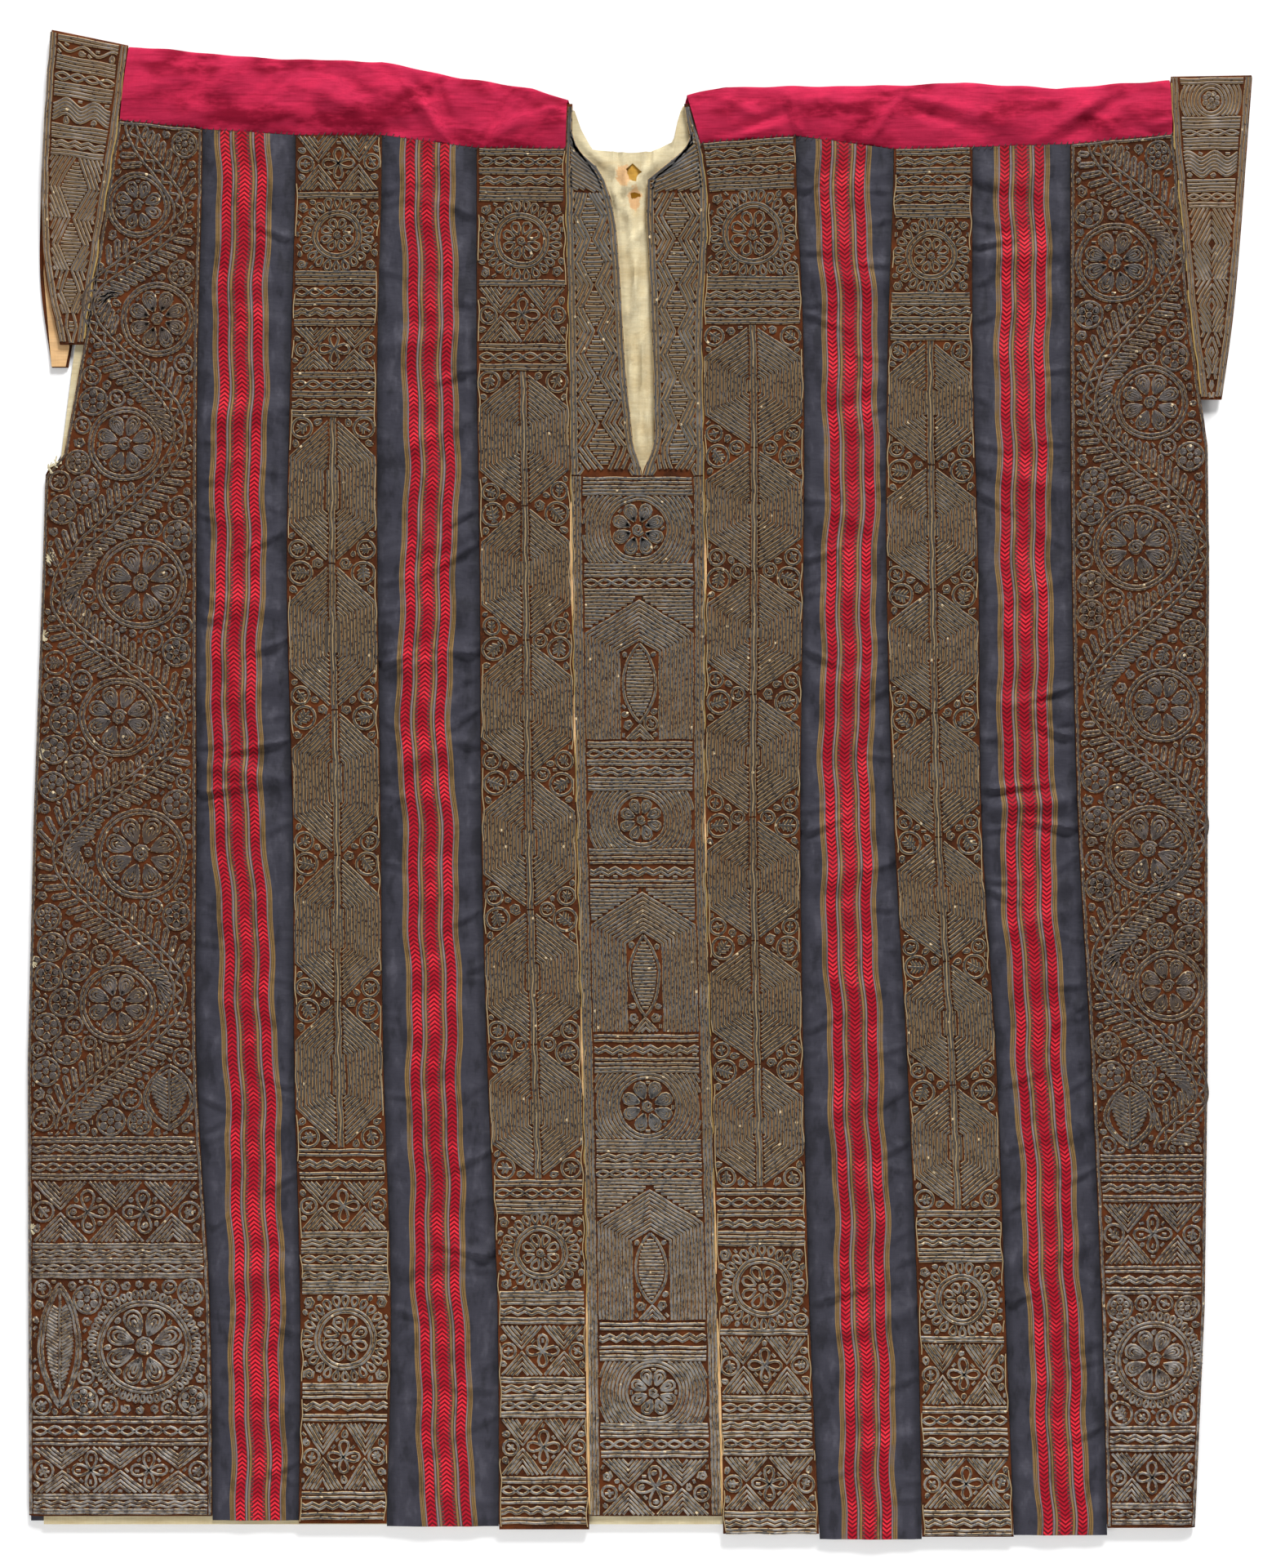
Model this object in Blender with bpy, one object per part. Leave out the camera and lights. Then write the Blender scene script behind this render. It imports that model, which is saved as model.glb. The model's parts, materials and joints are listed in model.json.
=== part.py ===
"""Bridal tunic laid out flat with its front up, as a maker would cut and sew it.

The front is strips sewn side by side: velvet bands thick with couched cord, striped silk ribbons
between them, a slit centre panel and a wide velvet panel at each side. Plain shoulder pieces and
short embroidered sleeve bands fold over the top to the back. A cream lining lies inside.
Sizes are in millimetres until they reach a mesh. Left and right are as seen from the front.
"""

import math

import bmesh
import bpy
import numpy as np
from mathutils import Vector

MM = 0.001

# Cloth walls and the gap between pieces
SEAM_GAP = 0.3
BACK_WALL = 1.6
LINING_WALL = 1.0
RIBBON_WALL = 1.2
SHOULDER_WALL = 1.2
VELVET_WALL = 2.0
EMBROIDERY_RISE = 0.9

# Heights of the layers above the surface that the tunic lies on
BACK_LINING_Z = BACK_WALL + SEAM_GAP
FRONT_LINING_Z = BACK_LINING_Z + LINING_WALL + SEAM_GAP
FRONT_Z = FRONT_LINING_Z + LINING_WALL + SEAM_GAP

# A side panel's outer edge rolls down to the back below the armhole
ROLL_WIDTH = 8.0
ROLL_DROP = FRONT_Z - BACK_LINING_Z
ARMHOLE_FOOT = {"left": 214.0, "right": 243.0}

# An embroidered pad rises over this width, and stops short of its panel's edges
PAD_SLOPE = 1.2
PAD_EDGE = 2.0

# The back and the lining stop short of the panels that hide them
BACK_INSET = 1.0
LINING_INSET = 10.0
LINING_BELOW_FOLD = 6.0

FRONT_PIECES = (
    "side_left", "ribbon_outer_left", "band_outer_left", "ribbon_inner_left", "band_inner_left",
    "center",
    "band_inner_right", "ribbon_inner_right", "band_outer_right", "ribbon_outer_right", "side_right",
)

# Each row is a level up the garment: y, then the right edge of every front piece but the last
SEAMS = (
    (462, -295, -232, -174, -110, -49, 32, 105, 171, 224, 290),
    (429, -295, -232, -174, -110, -50, 41, 105, 171, 224, 290),
    (297, -298, -235, -177, -110, -48, 42, 110, 167, 224, 290),
    (143, -299, -238, -177, -108, -46, 44, 110, 166, 228, 291),
    (-22, -299, -234, -175, -107, -43, 44, 108, 171, 230, 295),
    (-187, -299, -233, -173, -103, -39, 48, 110, 180, 240, 304),
    (-352, -290, -229, -168, -96, -36, 52, 114, 187, 246, 311),
    (-510, -288, -230, -171, -95, -34, 56, 121, 190, 252, 315),
)

# Armhole seam and outer edge of each side: y, x. The step on the left is the foot of the armhole
OUTER = {
    "left": (
        (500, -344.5), (447, -351), (295, -375), (223, -388), (217, -390), (212, -401), (143, -403),
        (-22, -409), (-187, -413), (-510, -412),
    ),
    "right": (
        (480, 357), (438, 359), (374, 365), (319, 370), (258, 378), (228, 383), (143, 384),
        (-22, 383), (-187, 383), (-352, 381), (-510, 374),
    ),
}

# Top corners of each front piece, left and right, and its hem
TOP_CORNERS = {
    "side_left": (447, 441), "ribbon_outer_left": (441, 437), "band_outer_left": (437, 437),
    "ribbon_inner_left": (437, 428.5), "band_inner_left": (428.5, 428), "center": (458, 458),
    "band_inner_right": (431.5, 436.5), "ribbon_inner_right": (436.5, 427.5),
    "band_outer_right": (427.5, 429), "ribbon_outer_right": (429, 431), "side_right": (431, 437.5),
}
HEMS = {
    "side_left": -493, "ribbon_outer_left": -496, "band_outer_left": -498, "ribbon_inner_left": -500,
    "band_inner_left": -502, "center": -493, "band_inner_right": -505, "ribbon_inner_right": -508.7,
    "band_outer_right": -507, "ribbon_outer_right": -506, "side_right": -501,
}
LINING_HEM = -499
BACK_HEM = -497
BACK_TOP = 425

# Fold line over each shoulder: x, y
FOLD = {
    "left": ((-345, 497), (-261, 489.5), (-178, 487), (-123, 476), (-74, 469), (-49, 460.5)),
    "right": ((32, 463), (64, 470), (174, 471), (223, 473), (284, 469), (357, 474.5)),
}

# Neck opening and front slit: y, left edge, right edge. The first row is the foot of the slit
NECK_CUT = (
    (211, 1.2, 2.0), (228, -4.5, 9.6), (280, -9.9, 9.0), (347, -13.8, 6.2), (375, -16, 4.5),
    (394, -19.5, 4.2), (407, -24, 5), (415, -29, 15), (430, -45.7, 34), (462, -45.5, 29),
)
NECK_CUT_TOP = 500
# Back neckline, a scoop between the shoulders: x, y
BACK_NECK = (
    (-45.5, 454), (-40.7, 442), (-32, 427.5), (-9.5, 425.5), (8, 426.3), (22.5, 433), (25.3, 451),
    (28, 457),
)
# Rip in the back's lining below its neckline: centre x, centre y, half width, half height
NECK_RIP = (-3.9, 412.3, 5.7, 6.4)
# Corners round the rip: share of a turn from its right, reach as a share of the half sizes
RIP_CORNERS = (
    (0.0, 1.0), (0.115, 0.65), (0.28, 1.02), (0.45, 1.04), (0.526, 0.87), (0.637, 0.93), (0.787, 1.01),
    (0.887, 0.5),
)
# Neck edge of each shoulder piece down the back, under the lining: y, x
SHOULDER_BACK_NECK = {"left": ((425, -35.5), (460, -47.5)), "right": ((425, 24.5), (463, 31))}
# The back's lining shows past the left armhole: y, x
BACK_ARMHOLE_LEFT = ((300, -379.5), (294, -381.7), (220, -391))

# Embroidery down each velvet strip, from its top edge: motif, how many, length of them all
BORDER, DISC, DIAMOND, HEXAGON, NICHE = "border", "disc", "diamond", "hexagon", "niche"
EMBROIDERY = {
    "band_outer_left": (
        (DIAMOND, 1, 38), (DISC, 1, 58), (BORDER, 1, 33), (DIAMOND, 1, 30), (BORDER, 1, 31),
        (HEXAGON, 5, 492), (BORDER, 1, 22), (DIAMOND, 1, 34), (BORDER, 1, 38), (DISC, 1, 69),
        (BORDER, 1, 22), (DIAMOND, 1, 46), (BORDER, 1, 20),
    ),
    "band_inner_left": (
        (BORDER, 1, 31), (DISC, 1, 62), (DIAMOND, 1, 38), (BORDER, 1, 19), (HEXAGON, 6, 544),
        (BORDER, 1, 19), (DISC, 1, 61), (BORDER, 1, 18), (DIAMOND, 1, 35), (BORDER, 1, 28),
        (DIAMOND, 1, 39), (BORDER, 1, 33),
    ),
    "band_inner_right": (
        (BORDER, 1, 28), (DISC, 1, 66), (BORDER, 1, 28), (HEXAGON, 7, 581), (BORDER, 1, 35),
        (DISC, 1, 65), (DIAMOND, 1, 40), (BORDER, 1, 41), (DIAMOND, 1, 37), (BORDER, 1, 16),
    ),
    "band_outer_right": (
        (BORDER, 1, 42), (DISC, 1, 59), (BORDER, 1, 28), (HEXAGON, 7, 585), (BORDER, 1, 31),
        (DISC, 1, 59), (DIAMOND, 1, 42), (BORDER, 1, 35), (DIAMOND, 1, 35), (BORDER, 1, 18),
    ),
    "center": (
        (DIAMOND, 12, 251), (BORDER, 1, 8), (DISC, 1, 55), (BORDER, 1, 17), (NICHE, 1, 98),
        (BORDER, 1, 29), (DISC, 1, 48), (BORDER, 1, 22), (NICHE, 1, 98), (BORDER, 1, 22),
        (DISC, 1, 54), (BORDER, 1, 26), (NICHE, 1, 92), (BORDER, 1, 22), (DISC, 1, 51),
        (BORDER, 1, 19), (DIAMOND, 1, 39),
    ),
}

# Rosettes among the side panels' vine: x, y, radius
ROSETTES = {
    "side_left": (
        (-338, 389, 22), (-325, 313, 26), (-347, 229, 26), (-336, 135, 32), (-351, 45, 28),
        (-336, -47, 32), (-352, -148, 27),
    ),
    "side_right": (
        (320, 351, 28), (344, 257, 26), (334, 159, 30), (352, 53, 26), (343, -44, 31), (361, -136, 26),
    ),
}
# Borders across the foot of the side panels: the level of their top, then motif, how many, length
SIDE_BORDER_TOP = {"side_left": -237, "side_right": -249}
SIDE_BORDERS = {
    "side_left": (
        (BORDER, 1, 30), (BORDER, 1, 42), (BORDER, 1, 24), (DISC, 1, 92), (BORDER, 1, 21), (BORDER, 1, 44),
    ),
    "side_right": (
        (BORDER, 1, 33), (BORDER, 1, 42), (BORDER, 1, 20), (DISC, 1, 88), (BORDER, 1, 18), (BORDER, 1, 48),
    ),
}

# Half outline of each motif's pad: share of its length, share of the half width, share of the rise
DISC_STEPS = 5
MOTIF_PADS = {
    BORDER: ((0.03, 1.0, 0.0), (0.14, 1.0, 1.0), (0.86, 1.0, 1.0), (0.97, 1.0, 0.0)),
    DIAMOND: ((0.04, 0.12, 1.0), (0.5, 1.0, 1.0), (0.96, 0.12, 1.0)),
    HEXAGON: ((0.02, 0.1, 1.0), (0.28, 1.0, 1.0), (0.72, 1.0, 1.0), (0.98, 0.1, 1.0)),
    NICHE: ((0.03, 0.1, 1.0), (0.3, 1.0, 1.0), (0.94, 1.0, 1.0), (0.97, 1.0, 0.0)),
    DISC: tuple(
        (0.5 - 0.47 * math.cos(turn), 0.98 * math.sin(turn), 1.0)
        for turn in (math.pi * (step + 0.5) / DISC_STEPS for step in range(DISC_STEPS))
    ),
}

# Crosswise puckers in the ribbons: y, rise, half length, slope across the ribbon
PUCKERS = {
    "ribbon_outer_left": (
        (250, 1.2, 12, 0.1), (121, 1.4, 10, -0.2), (8, 2.4, 9, -0.2), (-330, 1.2, 14, 0.2),
    ),
    "ribbon_inner_left": (
        (300, 1.2, 12, 0.2), (160, 1.6, 12, 0.3), (84, 1.8, 10, 0.2), (-322, 1.8, 10, 0.2),
    ),
    "ribbon_inner_right": (
        (340, 1.2, 12, -0.2), (70, 1.4, 12, 0.1), (-60, 1.2, 12, 0.2), (-364, 1.8, 11, 0.3),
    ),
    "ribbon_outer_right": (
        (357, 1.2, 10, 0.1), (52, 1.6, 10, -0.2), (-14, 2.4, 9, 0.1), (-236, 1.6, 12, 0.2),
    ),
}
RIBBON_WIDTH = 64.0
RIBBON_ROW_STEP = 48.0
RIBBON_COLUMNS = 4

# Slanting folds in the shoulder cloth: x, y, rise, half width, slope of the crest
SHOULDER_FOLDS = {
    "left": (
        (-318, 470, 1.2, 9, 0.25), (-205, 462, 1.6, 10, -0.35), (-132, 455, 1.8, 9, -0.5),
        (-80, 447, 1.4, 8, 0.3),
    ),
    "right": (
        (80, 448, 1.4, 9, 0.3), (160, 452, 1.8, 10, 0.3), (235, 450, 1.4, 10, -0.3),
        (318, 455, 1.6, 9, 0.35),
    ),
}
SHOULDER_ROWS = 5
FOLD_STEPS = 4
SHARP_ANGLE = math.radians(50)

# Sleeve bands, rows down from the fold: share of the length, front outer x, back outer x, back inner x
SLEEVES = {
    "left": (
        (0.0, -396.6, -397, -345.5), (0.25, -401, -402, -356), (0.5, -403.5, -404.5, -366),
        (0.75, -401.5, -404.5, -377), (1.0, -391, -397, -386),
    ),
    "right": (
        (0.0, 412.5, 412, 358.5), (0.25, 408.5, 408, 364), (0.5, 404.5, 404, 370),
        (0.75, 399.5, 399, 376), (1.0, 392, 391, 381),
    ),
}
# The fold's level at the outer and inner edge, then the foot of the front and of the back half
SLEEVE_LEVELS = {"left": (508.7, 498, 296, 281), "right": (478, 477, 259, 262)}
SLEEVE_OUTER_DROP = 0.8
SLEEVE_PAD_SHARES = (0.0, 0.1, 0.9, 1.0)
# The sleeve lining that shows past the left band: x, y
SLEEVE_LINING_OUTLINE = (
    (-402.5, 346), (-397, 281.5), (-387.5, 281.5), (-385, 294), (-385, 350), (-400, 372),
)
SLEEVE_LINING_Z = VELVET_WALL + SEAM_GAP

# Colours of the cloth, with roughness
FINISHES = {
    "velvet": ((0.10, 0.045, 0.025), 0.9),
    "ribbon": ((0.035, 0.038, 0.055), 0.5),
    "shoulder": ((0.42, 0.018, 0.06), 0.7),
    "lining": ((0.72, 0.62, 0.40), 0.65),
    "sleeve_lining": ((0.62, 0.38, 0.18), 0.65),
    "back": ((0.05, 0.05, 0.07), 0.8),
}


def clear_scene():
    for obj in list(bpy.data.objects):
        bpy.data.objects.remove(obj, do_unlink=True)


def make_collection(name):
    collection = bpy.data.collections.new(name)
    bpy.context.scene.collection.children.link(collection)
    return collection


def make_material(name):
    colour, roughness = FINISHES[name]
    material = bpy.data.materials.new(name)
    material.use_nodes = True
    shader = material.node_tree.nodes["Principled BSDF"]
    shader.inputs["Base Color"].default_value = (*colour, 1.0)
    shader.inputs["Roughness"].default_value = roughness
    return material


def point(x, y, z):
    return Vector((x, y, z)) * MM


def along(table, at, column=1):
    """Straight-line reading of a table's column at a value of its first column."""
    rows = sorted(table)
    return float(np.interp(at, [row[0] for row in rows], [row[column] for row in rows]))


def smooth_along(table, at, column):
    """Reading of a table's column on a smooth curve through its rows."""
    rows = sorted(table)
    keys = [row[0] for row in rows]
    values = [row[column] for row in rows]
    slopes = np.gradient(values, keys)
    low = int(np.clip(np.searchsorted(keys, at) - 1, 0, len(keys) - 2))
    span = keys[low + 1] - keys[low]
    t = (at - keys[low]) / span
    start = (1 + 2 * t) * (1 - t) ** 2 * values[low] + t * (1 - t) ** 2 * span * slopes[low]
    end = t * t * (3 - 2 * t) * values[low + 1] + t * t * (t - 1) * span * slopes[low + 1]
    return float(start + end)


def seam_x(index, y):
    """Seam on the right of the front piece of that index, or the outer edge before and after them all."""
    if index < 0:
        return along(OUTER["left"], y)
    if index == len(FRONT_PIECES) - 1:
        return along(OUTER["right"], y)
    return smooth_along(SEAMS, y, index + 1)


def edges_at(piece, left_level, right_level):
    """Left and right edge of a front piece, each at its level, half a seam gap inside its seams."""
    index = FRONT_PIECES.index(piece)
    return seam_x(index - 1, left_level) + SEAM_GAP / 2, seam_x(index, right_level) - SEAM_GAP / 2


def add_object(name, data, material, collection):
    obj = bpy.data.objects.new(name, data)
    obj.data.materials.append(material)
    collection.objects.link(obj)
    return obj


def whole_cap(loop):
    return [loop]


def strip_cap(loop):
    """Quads across a ring whose second half runs back along its first."""
    last = len(loop) - 1
    return [(loop[k], loop[k + 1], loop[last - k - 1], loop[last - k]) for k in range(len(loop) // 2 - 1)]


def make_loft(name, rings, cap, material, collection):
    """A closed solid through rings of points: quads from ring to ring and a cap at each end."""
    shape = bmesh.new()
    loops = [[shape.verts.new(corner) for corner in ring] for ring in rings]
    for one, other in zip(loops, loops[1:]):
        for k in range(len(one)):
            following = (k + 1) % len(one)
            shape.faces.new((one[k], one[following], other[following], other[k]))
    for face in cap(loops[0]) + cap(loops[-1]):
        shape.faces.new(face)
    bmesh.ops.recalc_face_normals(shape, faces=shape.faces[:])
    mesh = bpy.data.meshes.new(name)
    shape.to_mesh(mesh)
    shape.free()
    mesh.shade_smooth()
    mesh.set_sharp_from_angle(angle=SHARP_ANGLE)
    return add_object(name, mesh, material, collection)


def make_plate(name, lines, low, wall, material, collection):
    """A flat cloth from height low up to low + wall: its outline, and any holes in it after that."""
    curve = bpy.data.curves.new(name, "CURVE")
    curve.dimensions = "2D"
    curve.fill_mode = "BOTH"
    curve.extrude = wall / 2 * MM
    for line in lines:
        spline = curve.splines.new("POLY")
        spline.points.add(len(line) - 1)
        for corner, (x, y) in zip(spline.points, line):
            corner.co = (x * MM, y * MM, 0, 1)
        spline.use_cyclic_u = True
    obj = add_object(name, curve, material, collection)
    obj.location.z = (low + wall / 2) * MM
    return obj


def motif_rows(layout, top):
    """Level, pad share and rise of every row of a column of motifs that starts at the level top."""
    rows = []
    y = top
    for motif, count, length in layout:
        step = length / count
        for _ in range(count):
            rows += [(y - share * step, half, rise) for share, half, rise in MOTIF_PADS[motif]]
            y -= step
    return rows


def band_ring(piece, levels, half, rise):
    """Section of an embroidered strip: a plain underside, and a pad raised between its edges."""
    left, right = edges_at(piece, *levels)
    middle = (left + right) / 2
    reach = half * ((right - left) / 2 - PAD_EDGE - PAD_SLOPE)
    top = FRONT_Z + VELVET_WALL
    pad = top + rise * EMBROIDERY_RISE
    section = (
        (left, FRONT_Z), (right, FRONT_Z), (right, top),
        (middle + reach + PAD_SLOPE, top), (middle + reach, pad),
        (middle - reach, pad), (middle - reach - PAD_SLOPE, top), (left, top),
    )
    return [point(x, float(np.interp(x, (left, right), levels)), z) for x, z in section]


def make_band(piece, material, collection):
    top = TOP_CORNERS[piece]
    hem = HEMS[piece]
    rows = motif_rows(EMBROIDERY[piece], min(top))
    rings = [band_ring(piece, top, rows[0][1], 0.0)]
    rings += [band_ring(piece, (y, y), half, rise) for y, half, rise in rows if y > hem + PAD_SLOPE]
    rings.append(band_ring(piece, (hem, hem), rows[-1][1], 0.0))
    return make_loft(piece, rings, whole_cap, material, collection)


def side_rows(piece):
    """Level, pad centre, pad half width and rise of a side panel's rows: rosettes above, borders below."""
    rows = []
    for x, y, radius in ROSETTES[piece]:
        for share, half, rise in MOTIF_PADS[DISC]:
            rows.append((y + radius - 2 * radius * share, x, radius * half, rise))
    for y, half, rise in motif_rows(SIDE_BORDERS[piece], SIDE_BORDER_TOP[piece]):
        left, right = edges_at(piece, y, y)
        rows.append((y, (left + right) / 2, half * (right - left) / 2, rise))
    return rows


def side_ring(piece, levels, centre, reach, rise):
    """Section of a side panel: as a band's, with the outer edge rolled down below the armhole."""
    side = piece.removeprefix("side_")
    level = sum(levels) / 2
    left, right = edges_at(piece, *levels)
    inward = 1 if side == "left" else -1
    outer, inner = (left, right) if side == "left" else (right, left)
    bend = outer + inward * ROLL_WIDTH
    lowest, highest = sorted((bend + inward * PAD_EDGE, inner - inward * PAD_EDGE))
    low = min(max(centre - reach, lowest + PAD_SLOPE), highest - 2 * PAD_SLOPE)
    high = max(min(centre + reach, highest - PAD_SLOPE), low + PAD_SLOPE)
    near, far = (low, high) if side == "left" else (high, low)
    drop = ROLL_DROP if level < ARMHOLE_FOOT[side] else 0.0
    top = FRONT_Z + VELVET_WALL
    pad = top + rise * EMBROIDERY_RISE
    section = (
        (outer, FRONT_Z - drop), (bend, FRONT_Z), (inner, FRONT_Z), (inner, top),
        (far + inward * PAD_SLOPE, top), (far, pad), (near, pad), (near - inward * PAD_SLOPE, top),
        (bend, top), (outer, top - drop),
    )
    return [point(x, float(np.interp(x, (left, right), levels)), z) for x, z in section]


def make_side(side, material, collection):
    piece = "side_" + side
    top = TOP_CORNERS[piece]
    hem = HEMS[piece]
    rows = side_rows(piece)
    for y, _ in OUTER[side]:
        nearest = min(rows, key=lambda row: abs(row[0] - y))
        rows.append((y, *nearest[1:]))
    rows = sorted((row for row in rows if hem < row[0] < min(top)), reverse=True)
    rings = [side_ring(piece, top, *rows[0][1:3], 0.0)]
    rings += [side_ring(piece, (y, y), centre, reach, rise) for y, centre, reach, rise in rows]
    rings.append(side_ring(piece, (hem, hem), *rows[-1][1:3], 0.0))
    return make_loft(piece, rings, whole_cap, material, collection)


def pucker_rise(piece, share, y):
    """Rise of a ribbon's puckers at a share of its width and a level, none at the sewn edges."""
    rise = 0.0
    for crest, height, reach, slope in PUCKERS[piece]:
        distance = abs(y - crest - slope * RIBBON_WIDTH * (share - 0.5))
        rise += height * max(0.0, 1 - distance / reach)
    return rise * math.sqrt(max(0.0, math.sin(math.pi * share)))


def make_ribbon(piece, material, collection):
    top = TOP_CORNERS[piece]
    hem = HEMS[piece]
    levels = list(np.arange(hem + RIBBON_ROW_STEP, min(top) - RIBBON_ROW_STEP / 2, RIBBON_ROW_STEP))
    for crest, _, reach, _ in PUCKERS[piece]:
        levels += [crest - reach, crest, crest + reach]
    rings = []
    for start, end in [top] + [(y, y) for y in sorted(levels, reverse=True)] + [(hem, hem)]:
        left, right = edges_at(piece, start, end)
        lower = []
        upper = []
        for share in np.linspace(0, 1, RIBBON_COLUMNS):
            x = left + share * (right - left)
            y = start + share * (end - start)
            z = FRONT_Z + pucker_rise(piece, share, y)
            lower.append(point(x, y, z))
            upper.append(point(x, y, z + RIBBON_WALL))
        rings.append(lower + upper[::-1])
    return make_loft(piece, rings, strip_cap, material, collection)


def over_the_fold(foot, fold, back_foot, top, front_shares, back_shares):
    """Outer path of a cloth from its front foot, over the fold and down the back: y, z, outward y and z."""
    radius = top / 2
    bend = fold - radius
    path = [(foot + (bend - foot) * share, top, 0.0, 1.0) for share in front_shares]
    for step in range(1, FOLD_STEPS + 1):
        turn = math.pi / 2 - math.pi * step / FOLD_STEPS
        out_y, out_z = math.cos(turn), math.sin(turn)
        path.append((bend + radius * out_y, radius + radius * out_z, out_y, out_z))
    return path + [(bend + (back_foot - bend) * share, 0.0, 0.0, -1.0) for share in back_shares]


def shoulder_fold_rise(side, x, y):
    """Rise of the slanting folds: each is a rounded ridge along its crest, four times as long as wide."""
    rise = 0.0
    for crest_x, crest_y, height, width, slope in SHOULDER_FOLDS[side]:
        across = (y - crest_y - slope * (x - crest_x)) / width
        along_crest = (x - crest_x) / (4 * width)
        rise += height * math.exp(-across * across - along_crest * along_crest)
    return rise


def shoulder_x(side, share, y, on_front):
    """Column of a shoulder piece at a level, between its sleeve edge and its neck edge."""
    inward = 1 if side == "left" else -1
    sleeve = along(OUTER[side], y) + inward * SEAM_GAP
    neck_seam = FRONT_PIECES.index("center") - (1 if side == "left" else 0)
    neck = seam_x(neck_seam, y) if on_front else along(SHOULDER_BACK_NECK[side], y)
    return sleeve + share * (neck - inward * SEAM_GAP / 2 - sleeve)


def shoulder_columns(side):
    """Share across the shoulder and level of its seam, at each corner and middle of the pieces below."""
    pieces = FRONT_PIECES[:5] if side == "left" else FRONT_PIECES[:5:-1]
    columns = []
    for piece in pieces:
        edges = edges_at(piece, *TOP_CORNERS[piece])
        (first, start), (last, end) = list(zip(edges, TOP_CORNERS[piece]))[:: 1 if side == "left" else -1]
        columns += [(first, start), ((first + last) / 2, (start + end) / 2)]
    columns.append((last, end))
    shares = []
    for x, y in columns:
        sleeve = shoulder_x(side, 0, y, True)
        neck = shoulder_x(side, 1, y, True)
        shares.append((min(1.0, max(0.0, (x - sleeve) / (neck - sleeve))), y + SEAM_GAP))
    shares[0] = (0.0, shares[0][1])
    shares[-1] = (1.0, shares[-1][1])
    return shares


def make_shoulder(side, material, collection):
    """Shoulder piece: up from its seam to the fold, round it, and down the back to the back's top edge."""
    top = FRONT_Z + SHOULDER_WALL
    front_shares = [k / SHOULDER_ROWS for k in range(SHOULDER_ROWS + 1)]
    rings = []
    for share, foot in shoulder_columns(side):
        fold = along(FOLD[side], shoulder_x(side, share, foot, True))
        lower = []
        upper = []
        for y, z, out_y, out_z in over_the_fold(foot, fold, BACK_TOP + SEAM_GAP, top, front_shares, (1.0,)):
            x = shoulder_x(side, share, y, z > top / 4)
            edge_fade = min(1.0, (fold - y) / 12) * min(1.0, (y - foot) / 6) * max(0.0, out_z)
            rise = shoulder_fold_rise(side, x, y) * max(0.0, edge_fade)
            upper.append(point(x, y, z + rise))
            lower.append(point(x, y - out_y * SHOULDER_WALL, z - out_z * SHOULDER_WALL + rise))
        rings.append(lower + upper[::-1])
    return make_loft("shoulder_" + side, rings, strip_cap, material, collection)


def make_sleeve(side, material, collection):
    """Sleeve band: its front half up to the fold, round it, and its back half down again."""
    rows = SLEEVES[side]
    fold_outer, fold_inner, front_foot, back_foot = SLEEVE_LEVELS[side]
    outward = -1 if side == "left" else 1
    front_shares = [1 - row[0] for row in rows[::-1]]
    back_shares = [row[0] for row in rows[1:]]
    paths = []
    for share in SLEEVE_PAD_SHARES:
        fold = fold_outer + share * (fold_inner - fold_outer)
        top = FRONT_Z + VELVET_WALL - SLEEVE_OUTER_DROP * (1 - share)
        paths.append(over_the_fold(front_foot, fold, back_foot, top, front_shares, back_shares))
    rings = []
    for station in range(len(paths[0])):
        outer, inner = sleeve_edges(side, rows, station, paths[-1][station][0], outward)
        upper = []
        lower = []
        for share, path in zip(SLEEVE_PAD_SHARES, paths):
            y, z, out_y, out_z = path[station]
            x = outer + share * (inner - outer)
            raised = EMBROIDERY_RISE if 0 < share < 1 and 0 < station < len(rows) else 0.0
            upper.append(point(x, y, z + raised))
            if share in (0.0, 1.0):
                lower.append(point(x, y - out_y * VELVET_WALL, z - out_z * VELVET_WALL))
        rings.append(lower + upper[::-1])
    return make_loft("sleeve_" + side, rings, whole_cap, material, collection)


def sleeve_edges(side, rows, station, inner_level, outward):
    """Outer and inner x of a sleeve band's section: front rows from the foot up, the fold, back rows."""
    if station < len(rows):
        outer = rows[len(rows) - 1 - station][1]
        return outer, along(OUTER[side], inner_level) + outward * SEAM_GAP
    back_station = station - len(rows) - FOLD_STEPS + 1
    row = rows[max(0, back_station)]
    return row[2], row[3]


def neck_outline(top):
    """Outline of the neck opening and slit, from its top left down to the foot and up again."""
    left = [(row[1], row[0]) for row in reversed(NECK_CUT)]
    right = [(row[2], row[0]) for row in NECK_CUT]
    return [(left[0][0], top)] + left + right + [(right[-1][0], top)]


def outer_line(side, low, high, inset):
    """Points of a side's outer edge between two levels, upwards, moved in by the inset."""
    inward = 1 if side == "left" else -1
    levels = [low] + sorted(y for y, _ in OUTER[side] if low < y < high) + [high]
    return [(along(OUTER[side], y) + inward * inset, y) for y in levels]


def lining_shoulder(side, neck_x):
    """Top edge of the lining under a shoulder piece, from the sleeve to the neck."""
    ends = sorted((FOLD[side][0][0], FOLD[side][-1][0]))
    sleeve_x = ends[0] + LINING_INSET if side == "left" else ends[1] - LINING_INSET
    inner = [x for x, _ in FOLD[side] if min(sleeve_x, neck_x) < x < max(sleeve_x, neck_x)]
    line = [sleeve_x] + sorted(inner, reverse=side == "right") + [neck_x]
    return [(x, along(FOLD[side], x) - LINING_BELOW_FOLD) for x in line]


def rip_outline():
    """Corners round the rip, each on an oval of its own reach."""
    x, y, half_width, half_height = NECK_RIP
    corners = []
    for share, reach in RIP_CORNERS:
        turn = 2 * math.pi * share
        corners.append((x + half_width * reach * math.cos(turn), y + half_height * reach * math.sin(turn)))
    return corners


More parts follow.
